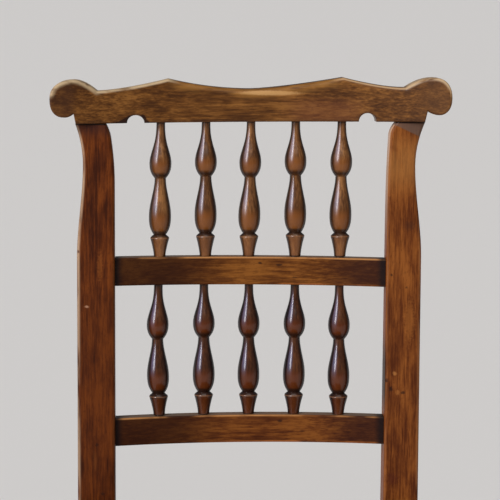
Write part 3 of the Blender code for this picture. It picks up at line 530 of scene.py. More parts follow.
middle_rail_marks = [
    ((0.0116, 0.022, 0.2820), (0.0030, 0.0060, 0.0016), 0.75, GRIME_AND_SHADE),
    ((0.0327, 0.022, 0.2799), (0.0050, 0.0060, 0.0018), 0.75, GRIME_AND_SHADE),
    ((0.0500, 0.022, 0.2660), (0.0040, 0.0060, 0.0014), 0.50, GRIME_AND_SHADE),
    ((-0.0300, 0.022, 0.2640), (0.0180, 0.0060, 0.0040), 0.45, (62, 26, 10)),
]
lower_rail_marks = [
    ((0.0350, 0.022, 0.1043), (0.0040, 0.0060, 0.0018), 0.75, GRIME_AND_SHADE),
    ((0.1017, 0.022, 0.0942), (0.0060, 0.0060, 0.0050), 0.45, GRIME_AND_SHADE),
    ((0.0600, 0.022, 0.0930), (0.0050, 0.0060, 0.0016), 0.55, GRIME_AND_SHADE),
]
middle_tones = ((72, 35, 9), (103, 58, 19), (132, 80, 30))
lower_tones = ((66, 29, 10), (97, 51, 18), (124, 72, 27))
middle_rail_finish = rail_wood("middle rail wood", middle_tones, 0.55, middle_rail_marks)
lower_rail_finish = rail_wood("lower rail wood", lower_tones, 0.95, lower_rail_marks)
middle_rail = make_bent_rail("bent_middle_rail", MIDDLE_RAIL_TOP, MIDDLE_RAIL_TILT, middle_rail_finish)
lower_rail = make_bent_rail("bent_lower_rail", LOWER_RAIL_TOP, LOWER_RAIL_TILT, lower_rail_finish)
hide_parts("middle_rail")
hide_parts("lower_rail")

# Spindles
# Ten spindles turned in beech on a lathe, five in each row, with a pin at each end that sits in a bored hole.
# A swelling, a neck, a second swelling, a groove and a collar follow each other down to a tapered foot.
# They keep the darkest and glossiest finish of the chair. Their sides are painted dark as shade, and a lilac
# highlight and a warm reflection are painted on their swellings.

CREST_UNDERSIDE = 0.4382
CREST_TILT = 0.0086
SPINDLE_SIDES = 40
PIN_RADIUS = 0.0045
PIN_LENGTH = 0.010
SPINDLE_TOP_RADIUS = 0.0048
UPPER_BELLY_MARK = 0.298
UPPER_BELLY_RADIUS = 0.0121
NECK_MARK = 0.411
NECK_RADIUS = 0.0062
LOWER_BELLY_MARK = 0.689
LOWER_BELLY_RADIUS = 0.0122
GROOVE_MARK = 0.829
GROOVE_RADIUS = 0.0068
COLLAR_BEVEL = 0.0031
COLLAR_LENGTH = 0.0013
COLLAR_RADIUS = 0.0104
COLLAR_EDGE = 0.0004
FOOT_RADIUS = 0.0063
UPPER_ROW = (
    {"across": -0.0988, "sway": 0.0087, "bow": 0.0, "lift": -0.0002},
    {"across": -0.0485, "sway": 0.0027, "bow": 0.0, "lift": 0.0014},
    {"across": 0.0004, "sway": 0.0140, "bow": 0.0, "lift": -0.0002},
    {"across": 0.0508, "sway": -0.0010, "bow": 0.0, "lift": 0.0016},
    {"across": 0.1008, "sway": 0.0060, "bow": 0.0, "lift": 0.0006},
)
LOWER_ROW = (
    {"across": -0.1003, "sway": -0.0063, "bow": -0.0013, "lift": -0.0010},
    {"across": -0.0502, "sway": 0.0, "bow": 0.0, "lift": 0.0004},
    {"across": -0.0001, "sway": 0.0, "bow": 0.0, "lift": 0.0},
    {"across": 0.0508, "sway": 0.0040, "bow": 0.0, "lift": 0.0006},
    {"across": 0.1002, "sway": 0.0, "bow": 0.0, "lift": -0.0006},
)


def swept(profile, start, end, from_radius, to_radius, steps, shape):
    """Add one curve of the turner's gouge to the profile, from one mark to the next."""
    for step in range(1, steps + 1):
        share = step / steps
        radius = from_radius + (to_radius - from_radius) * shape(share)
        profile.append((start + (end - start) * share, radius))


def spindle_profile(length):
    """Half outline from the tip of the upper pin down to the tip of the lower one, as distance and radius."""
    upper = length * UPPER_BELLY_MARK
    neck = length * NECK_MARK
    lower = length * LOWER_BELLY_MARK
    groove = length * GROOVE_MARK
    lip = groove + COLLAR_BEVEL
    collar = lip + COLLAR_LENGTH
    profile = [(-PIN_LENGTH, 0.0), (-PIN_LENGTH, PIN_RADIUS), (0.0, PIN_RADIUS), (0.0, SPINDLE_TOP_RADIUS)]
    swept(profile, 0.0, upper, SPINDLE_TOP_RADIUS, UPPER_BELLY_RADIUS, 14, lambda share: eased(share ** 1.5))
    swept(profile, upper, neck, UPPER_BELLY_RADIUS, NECK_RADIUS, 10, lambda share: share ** 2.6)
    swept(profile, neck, lower, NECK_RADIUS, LOWER_BELLY_RADIUS, 13, eased)
    swept(profile, lower, groove, LOWER_BELLY_RADIUS, GROOVE_RADIUS, 10, lambda share: share ** 2.9)
    profile += [(lip - COLLAR_EDGE, COLLAR_RADIUS - COLLAR_EDGE), (lip + COLLAR_EDGE, COLLAR_RADIUS)]
    profile.append((collar, COLLAR_RADIUS))
    swept(profile, collar, length, COLLAR_RADIUS, FOOT_RADIUS, 7, lambda share: 1 - (1 - share) ** 1.5)
    profile += [(length, PIN_RADIUS), (length + PIN_LENGTH, PIN_RADIUS), (length + PIN_LENGTH, 0.0)]
    return profile


def trace(points):
    """Draw a line of edges through the points, by pulling one point along, and leave it open for editing."""
    open_new(bpy.ops.mesh.primitive_plane_add, size=0.01)
    bpy.ops.mesh.merge(type="CENTER")
    bpy.ops.transform.translate(value=points[0])
    for place, next_place in zip(points, points[1:]):
        bpy.ops.mesh.extrude_region_move(TRANSFORM_OT_translate={"value": next_place - place})
    bpy.ops.mesh.select_all(action="SELECT")


def turn_on_lathe(name, profile, sides):
    """Spin a half outline once round the Z axis."""
    trace([Vector((radius, 0.0, -distance)) for distance, radius in profile])
    bpy.ops.mesh.spin(steps=sides, angle=2 * math.pi, center=(0.0, 0.0, 0.0), axis=(0.0, 0.0, 1.0))
    bpy.ops.mesh.select_all(action="SELECT")
    bpy.ops.mesh.remove_doubles(threshold=0.00002)
    return close_as(name)


def mark_turning(piece):
    """Keep on each point how far it faces right and forwards, and its distance down from the top."""
    facing = []
    for vertex in piece.data.vertices:
        radius = max(math.hypot(vertex.co.x, vertex.co.y), 0.00001)
        facing += [vertex.co.x / radius, -vertex.co.y / radius, -vertex.co.z]
    marks = piece.data.attributes.new("section", "FLOAT_VECTOR", "POINT")
    marks.data.foreach_set("vector", facing)


def spindle_wood(name, length, tones, sides, warm, polish, highlight_strength, highlight_tone):
    wood = Finish(name, leaning=True)
    wood.grow(2, *tones)
    rightwards, forwards, down = wood.section()
    upper = length * UPPER_BELLY_MARK
    neck = length * NECK_MARK
    lower = length * LOWER_BELLY_MARK
    groove = length * GROOVE_MARK

    def both(first, second):
        return wood.reckon("ADD", wood.stretch(down, *first), wood.stretch(down, *second))

    bellies = both((upper - 0.003, neck - 0.003, 0.006), (lower - 0.003, groove - 0.003, 0.006))
    foot = wood.stretch(down, groove + 0.005, length + 0.010, 0.001)
    # The lower halves of the swellings and the foot are painted warm: the wood's own colour and a painted
    # warm reflection from below.
    wood.paint(warm, wood.reckon("ADD", wood.times(bellies, 0.80), wood.times(foot, 0.50)))
    # The sides are painted near black as shade and dark reflections.
    wood.paint(sides, wood.between(wood.reckon("ABSOLUTE", forwards), 0.97, 0.50), 0.92)
    # A lilac highlight of the window painted on the upper halves of the swellings.
    above_bellies = both((upper * 0.30, upper - 0.004, 0.010), (neck + 0.010, lower - 0.006, 0.010))
    facing_window = wood.times(wood.stretch(rightwards, -0.66, -0.30, 0.13), wood.between(forwards, 0.1, 0.5))
    wood.paint(highlight_tone, above_bellies, facing_window, highlight_strength)
    # The creases under the swellings and the collar's bevel are painted dark as shade; the ends are dark
    # joints.
    collar = groove + COLLAR_BEVEL
    creases = both((neck - 0.0060, neck - 0.0010, 0.0026), (groove - 0.0045, collar - 0.0008, 0.0014))
    ends = wood.reckon("ADD", wood.between(down, 0.0025, 0.0), wood.between(down, length - 0.0018, length))
    wood.paint(GRIME_AND_SHADE, wood.reckon("ADD", creases, ends), 0.85)
    # A painted highlight on the collar's lip.
    wood.paint((150, 104, 72), wood.stretch(down, collar, collar + 0.0010, 0.0005), 0.45)
    wood.give("Coat IOR", 1.9)
    return wood.varnish(0.42, 0.08, 0.30, polish, 0.00002)


def make_row(row, row_top, tilt, length, places, material):
    pattern = turn_on_lathe(row + "_spindle_pattern", spindle_profile(length), SPINDLE_SIDES)
    mark_turning(pattern)
    bpy.ops.object.shade_smooth_by_angle(angle=math.radians(38.0))
    for number, own in enumerate(places, start=1):
        take_up(pattern)
        bpy.ops.object.duplicate(linked=False)
        spindle = bpy.context.object
        spindle.name = "turned_" + row + "_spindle_" + str(number)
        spindle.data.name = spindle.name
        for vertex in spindle.data.vertices:
            share = min(max(-vertex.co.z / length, 0.0), 1.0)
            vertex.co.z += own["lift"] * math.sin(math.pi * share)
            vertex.co.x += own["sway"] * length * (0.5 - share) + own["bow"] * math.sin(math.pi * share)
        across = own["across"]
        settle(spindle, (across, arc_behind(across), row_top + tilt * across))
        settle(spindle, BACK_PLACE, BACK_LEAN)
        spindle.data.materials.append(material)
        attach(spindle, "root")
        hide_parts(row + "_spindle_" + str(number))
    bpy.data.objects.remove(pattern)


UPPER_LENGTH = CREST_UNDERSIDE - MIDDLE_RAIL_TOP
LOWER_ROW_TOP = MIDDLE_RAIL_TOP - RAIL_HEIGHT
LOWER_LENGTH = LOWER_ROW_TOP - LOWER_RAIL_TOP
upper_tones = ((78, 46, 20), (112, 72, 38), (144, 98, 54))
upper_finish = spindle_wood(
    "upper spindle wood", UPPER_LENGTH, upper_tones, sides=(30, 16, 10), warm=(124, 70, 22),
    polish=0.22, highlight_strength=0.34, highlight_tone=(168, 160, 182),
)
lower_tones = ((46, 22, 8), (68, 36, 16), (88, 50, 24))
lower_finish = spindle_wood(
    "lower spindle wood", LOWER_LENGTH, lower_tones, sides=(13, 8, 12), warm=(92, 40, 8),
    polish=0.17, highlight_strength=0.26, highlight_tone=(136, 138, 184),
)
make_row("upper", CREST_UNDERSIDE, CREST_TILT, UPPER_LENGTH, UPPER_ROW, upper_finish)
make_row("lower", LOWER_ROW_TOP, MIDDLE_RAIL_TILT, LOWER_LENGTH, LOWER_ROW, lower_finish)

# Crest rail
# One thick beech board, sawn to its outline and bent to the same arc, that caps the posts and upper spindles.
# It has a low peak on each side, a rounded ear past each post and a half round notch inside each one.
# The front of its top is rolled between the peaks, and the shade of a chamfer is painted beside the left
# notch.

CREST_THICKNESS = 0.0249
CREST_MIDDLE = 0.4743
CREST_ROLL = 0.0065
CREST_EAR_ROUNDING = 0.0038
CREST_BACK_ROUNDING = 0.0020
CREST_LOW_ROUNDING = 0.0012
CREST_COLUMN = 0.008
CREST_ROW = 0.006
NOTCH_RADIUS = 0.0095
NOTCH_STEPS = 12
LEFT_END = {
    "peak_at": 0.0900, "peak": 0.4851, "hollow": 2.0, "fall": 1.45,
    "neck_from": 0.1655, "neck_to": 0.1670, "neck": 0.4722, "rise": 1.75,
    "ear_at": 0.1915, "ear": 0.4845, "full": 2.3, "tip": 0.2179, "middle": 0.4636, "full_below": 2.4,
    "inner": 0.0161, "low_at": 0.2018, "low": 0.4437, "step": 0.1902, "joint": 0.1924,
    "notch": 0.1255, "notch_rise": 0.0086,
}
RIGHT_END = {
    "peak_at": 0.1015, "peak": 0.4874, "hollow": 1.38, "fall": 1.5,
    "neck_from": 0.1620, "neck_to": 0.1685, "neck": 0.4772, "rise": 1.95,
    "ear_at": 0.1985, "ear": 0.4883, "full": 2.3, "tip": 0.2179, "middle": 0.4660, "full_below": 2.2,
    "inner": 0.0184, "low_at": 0.2040, "low": 0.4476, "step": 0.1895, "joint": 0.1922,
    "notch": 0.1282, "notch_rise": 0.0095,
}


def crest_under(across):
    return CREST_UNDERSIDE + CREST_TILT * across


def crest_end_outline(end, side):
    """Outline of one half, from the middle of the underside round the ear to the middle of the top."""
    points = [(0.0, crest_under(0.0))]
    notch = end["notch"]
    for past in (-0.012, -0.006):
        points.append((notch - NOTCH_RADIUS + past, crest_under(side * (notch - NOTCH_RADIUS + past))))
    for step in range(NOTCH_STEPS + 1):
        turn = math.pi * step / NOTCH_STEPS
        up = crest_under(side * notch) + end["notch_rise"] * math.sin(turn)
        points.append((notch - NOTCH_RADIUS * math.cos(turn), up))
    for past in (0.005, 0.010, 0.015, 0.021):
        points.append((notch + NOTCH_RADIUS + past, crest_under(side * (notch + NOTCH_RADIUS + past))))
    points.append((end["step"], crest_under(side * end["step"])))
    middle = end["middle"]
    hang = middle - end["low"]
    first_turn = math.asin((end["joint"] - end["low_at"]) / end["inner"])
    for step in range(4):
        turn = first_turn * (1 - step / 4)
        points.append((end["low_at"] + end["inner"] * math.sin(turn), middle - hang * math.cos(turn)))
    for step in range(9):
        turn = math.pi / 2 * step / 9
        across = end["low_at"] + (end["tip"] - end["low_at"]) * math.sin(turn) ** (2 / end["full_below"])
        points.append((across, middle - hang * math.cos(turn) ** (2 / end["full_below"])))
    for step in range(10):
        turn = math.pi / 2 * step / 10
        across = end["ear_at"] + (end["tip"] - end["ear_at"]) * math.cos(turn) ** (2 / end["full"])
        points.append((across, middle + (end["ear"] - middle) * math.sin(turn) ** (2 / end["full"])))
    for step in range(7):
        share = 1 - step / 6
        across = end["neck_to"] + (end["ear_at"] - end["neck_to"]) * share
        points.append((across, end["neck"] + (end["ear"] - end["neck"]) * (1 - (1 - share) ** end["rise"])))
    for step in range(9):
        share = 1 - step / 8
        across = end["peak_at"] + (end["neck_from"] - end["peak_at"]) * share
        points.append((across, end["neck"] + (end["peak"] - end["neck"]) * (1 - share) ** end["fall"]))
    for step in range(1, 11):
        share = 1 - step / 10
        up = CREST_MIDDLE + (end["peak"] - CREST_MIDDLE) * share ** end["hollow"]
        points.append((end["peak_at"] * share, up))
    return [(side * across, up) for across, up in points]


def crest_rounding(first, second):
    """How far each edge of the crest rail's rim is rounded over."""
    if abs(first.y - second.y) > 0.001:
        return 0.0
    across = (first.x + second.x) / 2
    up = (first.z + second.z) / 2
    end = LEFT_END if across < 0 else RIGHT_END
    rim_below = CREST_BACK_ROUNDING if abs(across) > end["joint"] else CREST_LOW_ROUNDING
    if first.y > 0:
        return CREST_BACK_ROUNDING if up > end["middle"] else rim_below
    if abs(across) > end["joint"] and up < end["middle"] + 0.010:
        share = eased((up - end["middle"] + 0.014) / 0.022)
        return CREST_BACK_ROUNDING + (CREST_EAR_ROUNDING - CREST_BACK_ROUNDING) * share
    if up > end["middle"]:
        share = min(abs(across) / end["peak_at"], 1.0)
        return CREST_EAR_ROUNDING + (CREST_ROLL - CREST_EAR_ROUNDING) * (1 - share * share)
    return rim_below


def distance_to(line, across, up):
    """Shortest distance from a place on the rail's face to a line of points."""
    nearest = 1.0
    for (first_x, first_z), (second_x, second_z) in zip(line, line[1:]):
        run_x = second_x - first_x
        run_z = second_z - first_z
        share = ((across - first_x) * run_x + (up - first_z) * run_z) / (run_x * run_x + run_z * run_z)
        share = min(max(share, 0.0), 1.0)
        nearest = min(nearest, math.hypot(first_x + run_x * share - across, first_z + run_z * share - up))
    return nearest


def crest_wood(name):
    wood = Finish(name, leaning=True)
    wood.grow(0, (68, 38, 13), (99, 60, 23), (132, 86, 38))
    through, from_top, from_underside = wood.section()
    upright = wood.parts(wood.place)
    across = upright["X"]
    up = upright["Z"]
    face = wood.between(through, -0.7, -0.9)
    whole_rim = wood.between(through, 0.96, 0.80)
    patchy = wood.between(wood.noise(70.0, 26.0, 0), 0.28, 0.52)
    redder = wood.times(wood.stretch(across, 0.045, 0.120, 0.020), wood.between(up, 0.470, 0.455))
    wood.paint((98, 54, 34), redder, 0.45)
    # A highlight painted along the rolled top between the peaks, brightest near the middle.
    gold = wood.between(wood.noise(60.0, 14.0, 0, 3.0), 0.36, 0.60)
    roll_highlight = wood.times(wood.between(from_top, 0.013, 0.005), wood.stretch(across, -0.084, 0.100, 0.012))
    wood.paint((156, 108, 50), roll_highlight, gold, 0.66)
    wood.paint((206, 160, 104), wood.spot((0.021, 0.018, 0.4700), (0.040, 0.020, 0.0032), 0.4), 0.55)
    wood.paint((72, 44, 28), wood.between(across, -0.186, -0.198), face, 0.45)
    # The pale rim along the top past the left peak and round the left ear: wear and painted light from above.
    past_left_peak = wood.between(across, -0.074, -0.094)
    on_left_ear = wood.times(wood.between(from_top, 0.0060, 0.0020), wood.between(across, -0.160, -0.174))
    left_arris = wood.reckon("MAXIMUM", on_left_ear, wood.between(from_top, 0.0038, 0.0014))
    above_ear = wood.reckon("MAXIMUM", wood.between(up, 0.4615, 0.4725), wood.between(across, -0.190, -0.180))
    left_arris = wood.times(left_arris, whole_rim, wood.between(above_ear, 0.0, 1.0))
    wood.paint((196, 170, 132), left_arris, past_left_peak, patchy, 0.86)
    wood.paint((82, 50, 21), wood.between(across, 0.165, 0.200), face, 0.50)
    # The same pale rim past the right peak and round the right ear: wear and painted light from above.
    right_arris = wood.stretch(from_top, 0.0004, 0.0022, 0.0006)
    right_arris = wood.times(right_arris, wood.between(through, -0.4, -0.7))
    right_arris = wood.times(right_arris, wood.between(up, 0.4640, 0.4740, 0.15, 1.0))
    wood.paint((184, 150, 110), right_arris, wood.between(across, 0.084, 0.104), patchy, 0.84)
    on_right_ear = wood.times(wood.between(across, 0.160, 0.174), wood.between(up, 0.4720, 0.4800))
    right_ear_rim = wood.times(on_right_ear, wood.between(from_top, 0.0046, 0.0018), whole_rim)
    wood.paint((186, 158, 122), right_ear_rim, patchy, 0.80)
    not_left = wood.times(wood.reckon("SUBTRACT", 1.0, past_left_peak), wood.between(across, 0.176, 0.162))
    top_face = wood.times(wood.between(through, -0.75, -0.50), wood.between(from_top, 0.0030, 0.0012))
    wood.paint((58, 46, 40), top_face, not_left, 0.8)
    # The lowest front edge is painted dark as the shade of the underside.
    lowest = wood.between(from_underside, 0.0045, 0.0005)
    wood.paint(GRIME_AND_SHADE, lowest, wood.between(through, -0.75, -0.98), 0.45)
    # Shade of a chamfer painted beside the left notch.
    left_chamfer_shade = wood.between(across, -0.160, -0.134, 0.0, 0.0034)
    left_chamfer_shade = wood.times(left_chamfer_shade, wood.between(across, -0.130, -0.133))
    right_chamfer_shade = wood.between(across, -0.106, -0.116, 0.0, 0.0042)
    right_chamfer_shade = wood.times(right_chamfer_shade, wood.between(across, -0.1225, -0.1165))
    chamfer_shade = wood.reckon("SUBTRACT", wood.reckon("ADD", left_chamfer_shade, right_chamfer_shade), from_underside)
    wood.paint((34, 17, 12), wood.between(chamfer_shade, 0.0001, 0.0007), wood.between(through, 0.2, -0.4), 0.88)
    knot = wood.spot((0.1517, 0.015, 0.4592), (0.0042, 0.012, 0.0030))
    wood.paint((48, 28, 16), knot, 0.8)
    nick = wood.spot((-0.1770, 0.010, 0.4560), (0.0100, 0.012, 0.0010))
    wood.paint((48, 26, 14), nick, 0.6)
    return wood.varnish(0.40, 0.15, 0.07, 0.28)


def make_crest(name, material):
    right = crest_end_outline(RIGHT_END, 1)
    left = crest_end_outline(LEFT_END, -1)
    outline = right + list(reversed(left))[1:-1]
    trace([Vector((across, -CREST_THICKNESS / 2, up)) for across, up in outline])
    bpy.ops.mesh.edge_face_add()
    bpy.ops.mesh.extrude_region_move(TRANSFORM_OT_translate={"value": (0.0, CREST_THICKNESS, 0.0)})
    crest = close_as(name)
    round_arrises(crest, crest_rounding, 4, held_back=False)
    bpy.ops.object.mode_set(mode="EDIT")
    columns = int(RIGHT_END["tip"] / CREST_COLUMN)
    for column in range(-columns, columns + 1):
        bpy.ops.mesh.select_all(action="SELECT")
        bpy.ops.mesh.bisect(plane_co=(column * CREST_COLUMN, 0.0, 0.0), plane_no=(1.0, 0.0, 0.0))
    for row in range(7):
        level = CREST_UNDERSIDE + 0.0045 + row * CREST_ROW
        bpy.ops.mesh.select_all(action="SELECT")
        bpy.ops.mesh.bisect(plane_co=(0.0, 0.0, level), plane_no=(0.0, 0.0, 1.0))
    close_as(name)
    under_line = [point for point in outline if abs(point[0]) < 0.1903 and point[1] < 0.450]
    under_line.sort()
    top_line = [point for point in outline if point[1] > 0.4600]
    top_line.sort()
    places = []
    for vertex in crest.data.vertices:
        places.append(vertex.co.y / (CREST_THICKNESS / 2))
        places.append(distance_to(top_line, vertex.co.x, vertex.co.z))
        places.append(distance_to(under_line, vertex.co.x, vertex.co.z))
    marks = crest.data.attributes.new("section", "FLOAT_VECTOR", "POINT")
    marks.data.foreach_set("vector", places)
    for vertex in crest.data.vertices:
        vertex.co.y += arc_behind(vertex.co.x)
    settle(crest, BACK_PLACE, BACK_LEAN)
    smooth_over(crest)
    crest.data.materials.append(material)
    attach(crest, "root")
    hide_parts("crest_rail")
    return crest


make_crest("shaped_crest_rail", crest_wood("crest rail wood"))

# Seat board
# A flat beech board, glued up from planed staves, with rounded front corners and a rounded rim.
# It is notched round the two posts and screwed from below. Sitting has worn its middle paler.

SEAT_BOARD_THICKNESS = 0.020
SEAT_BOARD_FRONT = -0.395
SEAT_BOARD_FRONT_HALF = 0.214
SEAT_BOARD_REAR_HALF = 0.1926
SEAT_BOARD_CORNER = 0.030
SEAT_BOARD_RIM = 0.0048
SEAT_BOARD_LOWER_RIM = 0.0024
SEAT_NOTCH_FRONT = 0.0011
SEAT_NOTCH_GAP = 0.0006
STAVE_WIDTH = 0.096
PLAIN_POLISH = (0.15, 0.06, 0.32)


def seat_outline():
    """Outline seen from above, from the notch round the right post forwards and round to the left one."""
    points = []
    for side, inner in ((1, RIGHT_POST["inner"]), (-1, LEFT_POST["inner"])):
        inner -= SEAT_NOTCH_GAP
        half = [(inner, SEAT_BOARD_BEHIND), (inner, SEAT_NOTCH_FRONT)]
        half.append((SEAT_BOARD_REAR_HALF, SEAT_NOTCH_FRONT))
        corner = Vector((SEAT_BOARD_FRONT_HALF, SEAT_BOARD_FRONT))
        along_side = (Vector(half[2]) - corner).normalized() * SEAT_BOARD_CORNER
        for step in range(11):
            share = step / 10
            start = corner + along_side
            end = corner - Vector((SEAT_BOARD_CORNER, 0.0))
            point = start * (1 - share) ** 2 + corner * 2 * share * (1 - share) + end * share ** 2
            half.append((point.x, point.y))
        half = [(side * across, forwards) for across, forwards in half]
        points += half if side > 0 else list(reversed(half))
    return points


def plain_wood(name, along, tones, rubbed):
    """Stained wood for the plain pieces, with its rounded arrises rubbed paler."""
    wood = Finish(name)
    wood.grow(along, *tones)
    arris = wood.put("ShaderNodeAttribute", attribute_name="arris").outputs["Fac"]
    patchy = wood.between(wood.noise(45.0, 14.0, along), 0.38, 0.60)
    wood.paint(rubbed, arris, patchy, 0.75)
    return wood


def mark_arrises(piece, widest):
    """Mark the points that touch only narrow faces, which are those along the rounded arrises."""
    touched = [0.0] * len(piece.data.vertices)
    corners = piece.data.vertices
    for face in piece.data.polygons:
        longest = max((corners[first].co - corners[second].co).length for first, second in face.edge_keys)
        for corner in face.vertices:
            touched[corner] = max(touched[corner], face.area / longest)
    marks = piece.data.attributes.new("arris", "FLOAT", "POINT")
    marks.data.foreach_set("value", [1.0 if width < widest else 0.0 for width in touched])


def seat_wood(name):
    tones = ((66, 33, 15), (98, 56, 26), (128, 80, 40))
    wood = plain_wood(name, 0, tones, (176, 124, 76))
    behind = wood.parts(wood.place)["Y"]
    forwards = wood.reckon("SUBTRACT", behind, SEAT_BOARD_FRONT)
    stave = wood.reckon("DIVIDE", forwards, STAVE_WIDTH)
    number = wood.reckon("FLOOR", stave)
    own_place = wood.put("ShaderNodeCombineXYZ", {"X": number, "Y": wood.times(number, 3.7), "Z": 0.5})
    own_tone = wood.noise(1.7, 1.7, 0, 0.0, place=own_place.outputs["Vector"])
    wood.paint((60, 30, 14), wood.between(own_tone, 0.35, 0.70, 0.0, 0.35))
    seam = wood.between(wood.reckon("PINGPONG", stave, 0.5), 0.006, 0.001)
    wood.paint(GRIME_AND_SHADE, seam, wood.between(forwards, 0.010, 0.020), 0.7)
    wood.paint((150, 102, 60), wood.spot((0.0, -0.19, 0.0), (0.165, 0.150, 0.030), 0.25), 0.35)
    wood.paint(GRIME_AND_SHADE, wood.between(behind, -0.030, 0.010), 0.55)
    scratched = wood.between(wood.noise(620.0, 9.0, 1, 1.0, 0.5, 0.2), 0.70, 0.76)
    wood.paint((164, 116, 74), scratched, 0.35)
    return wood.varnish(0.44, *PLAIN_POLISH)


def make_seat_board(name, material):
    lower = SEAT_TOP - SEAT_BOARD_THICKNESS
    trace([Vector((across, forwards + BACK_PLACE.y, lower)) for across, forwards in seat_outline()])
    bpy.ops.mesh.edge_face_add()
    bpy.ops.mesh.extrude_region_move(TRANSFORM_OT_translate={"value": (0.0, 0.0, SEAT_BOARD_THICKNESS)})
    board = close_as(name)

    def width_at(first, second):
        if abs(first.z - second.z) > 0.001:
            return 0.0
        return SEAT_BOARD_RIM if first.z > SEAT_TOP - 0.001 else SEAT_BOARD_LOWER_RIM

    round_arrises(board, width_at, 4)
    mark_arrises(board, 0.004)
    smooth_over(board)
    board.data.materials.append(material)
    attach(board, "root")
    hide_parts("seat_board")


make_seat_board("planed_seat_board", seat_wood("seat board wood"))

# Front legs
# Two square legs of beech, planed to a taper on their two inner faces below the seat frame.
# The frame's rails and the side stretchers are tenoned into them. Shoes and brooms have scuffed their feet.

LEG_OUTER = 0.209
LEG_FRONT = -0.384
LEG_WIDTH = 0.038
LEG_FOOT_WIDTH = 0.028
LEG_TAPER_TOP = 0.359
LEG_TOP = 0.4194
LEG_ROUNDING = 0.0024


def leg_wood(name):
    wood = plain_wood(name, 2, ((54, 25, 11), (86, 44, 19), (116, 68, 32)), (166, 112, 66))
    height = wood.reckon("ADD", wood.parts(wood.place)["Z"], SEAT_TOP)
    patchy = wood.between(wood.noise(190.0, 60.0, 2), 0.46, 0.60)
    wood.paint((150, 110, 76), wood.between(height, 0.090, 0.0), patchy, 0.60)
    wood.paint((58, 44, 34), wood.between(height, 0.035, 0.0), 0.45)
    return wood.varnish(0.45, *PLAIN_POLISH)


def make_leg(name, side, node, material):
    stations = []
    for level in (0.0, 0.09, 0.18, 0.27, LEG_TAPER_TOP, LEG_TOP):
        width = min(LEG_FOOT_WIDTH + (LEG_WIDTH - LEG_FOOT_WIDTH) * level / LEG_TAPER_TOP, LEG_WIDTH)
        middle = Vector((side * (LEG_OUTER - width / 2), LEG_FRONT + width / 2 + BACK_PLACE.y, level))
        stations.append((middle, (width, width, 1.0)))
    leg = draw_out(name, stations)
    round_arrises(leg, lambda first, second: LEG_ROUNDING if abs(first.z - second.z) > 0.001 else 0.0)
    mark_arrises(leg, 0.0035)
    wear_foot(leg, stations[0][0])
    smooth_over(leg)
    leg.data.materials.append(material)
    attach(leg, "root")
    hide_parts(node)


leg_finish = leg_wood("front leg wood")
make_leg("tapered_left_leg", -1, "left_front_leg", leg_finish)
make_leg("tapered_right_leg", 1, "right_front_leg", leg_finish)

# Seat frame
# Four beech rails on edge, tenoned into the legs and posts, carry the seat board.
# Each is a softened copy of the rail in the frame.

RAIL_COPY_ROUNDING = 0.0009


def soften_copy(node_name, name, material):
    """A copy of a piece of the frame, its loose faces merged and its arrises rounded."""
    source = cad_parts[node_name]
    piece = source.copy()
    piece.data = source.data.copy()
    bpy.context.scene.collection.objects.link(piece)
    piece.parent = None
    for key in list(piece.keys()):
        del piece[key]
    take_up(piece)
    bpy.ops.object.mode_set(mode="EDIT")
    bpy.ops.mesh.select_all(action="SELECT")
    bpy.ops.mesh.remove_doubles(threshold=0.00002)
    bpy.ops.mesh.dissolve_limited(angle_limit=math.radians(1.0))
    close_as(name)
    modifier = piece.modifiers.new("rounded_arrises", "BEVEL")
    modifier.width = RAIL_COPY_ROUNDING
    modifier.segments = 2
    modifier.angle_limit = math.radians(30.0)
    apply_as_made(piece, modifier)
    mark_arrises(piece, 0.0038)
    smooth_over(piece)
    piece.data.materials.clear()
    piece.data.materials.append(material)
    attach(piece, "root")
    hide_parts(node_name)


def dress_bars(bars, ending, kind, tones, rubbed):
    """Soften the bars that run across the chair, then those that run along it, each with its own grain."""
    for along, direction in enumerate(("across", "along")):
        wood = plain_wood(kind + " wood " + direction, along, tones, rubbed)
        finish = wood.varnish(0.46, *PLAIN_POLISH)
        for bar in bars[along]:
            soften_copy(bar + ending, "planed_" + bar + ending, finish)


frame_tones = ((54, 25, 11), (84, 43, 19), (112, 64, 30))
dress_bars((("front", "back"), ("left", "right")), "_seat_rail", "seat frame", frame_tones, (158, 104, 60))

# Stretchers
# Two side stretchers, one across between them and one higher between the rear legs, all tenoned.
# Heels have rubbed the arrises of the lower three almost bare.

stretcher_tones = ((52, 24, 11), (82, 42, 19), (114, 68, 34))
stretcher_bars = (("cross", "rear"), ("left_side", "right_side"))
dress_bars(stretcher_bars, "_stretcher", "stretcher", stretcher_tones, (182, 132, 86))

# Corner blocks and screws
# Four blocks of unstained softwood glued into the corners of the seat frame, out of sight below the board.
# A steel countersunk screw goes up through each one into the board, and has rusted a little.

CORNERS = ("back_left", "back_right", "front_left", "front_right")

block_tones = ((112, 80, 48), (142, 106, 66), (168, 132, 88))
block_wood = plain_wood("corner block wood", 0, block_tones, (120, 92, 62))
block_finish = block_wood.varnish(0.62, *PLAIN_POLISH)
for corner in CORNERS:
    soften_copy(corner + "_block", "glued_" + corner + "_block", block_finish)

steel = Finish("screw steel")
rust = steel.between(steel.noise(900.0, 900.0, 0, 4.0), 0.45, 0.62)
steel.colour = colour_of(150, 146, 140)
steel.paint((88, 50, 30), rust)
steel.give("Base Color", steel.colour)
steel.give("Metallic", steel.reckon("SUBTRACT", 1.0, rust))
steel.give("Roughness", steel.between(rust, 0.0, 1.0, 0.38, 0.85))
for corner in CORNERS:
    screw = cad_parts[corner + "_screw"]
    screw.data.materials.clear()
    screw.data.materials.append(steel.material)

# Floor, light and camera
# A pale floor under the chair, a large soft window to the left, soft light from above, and the view.

FLOOR_HALF = 14.0

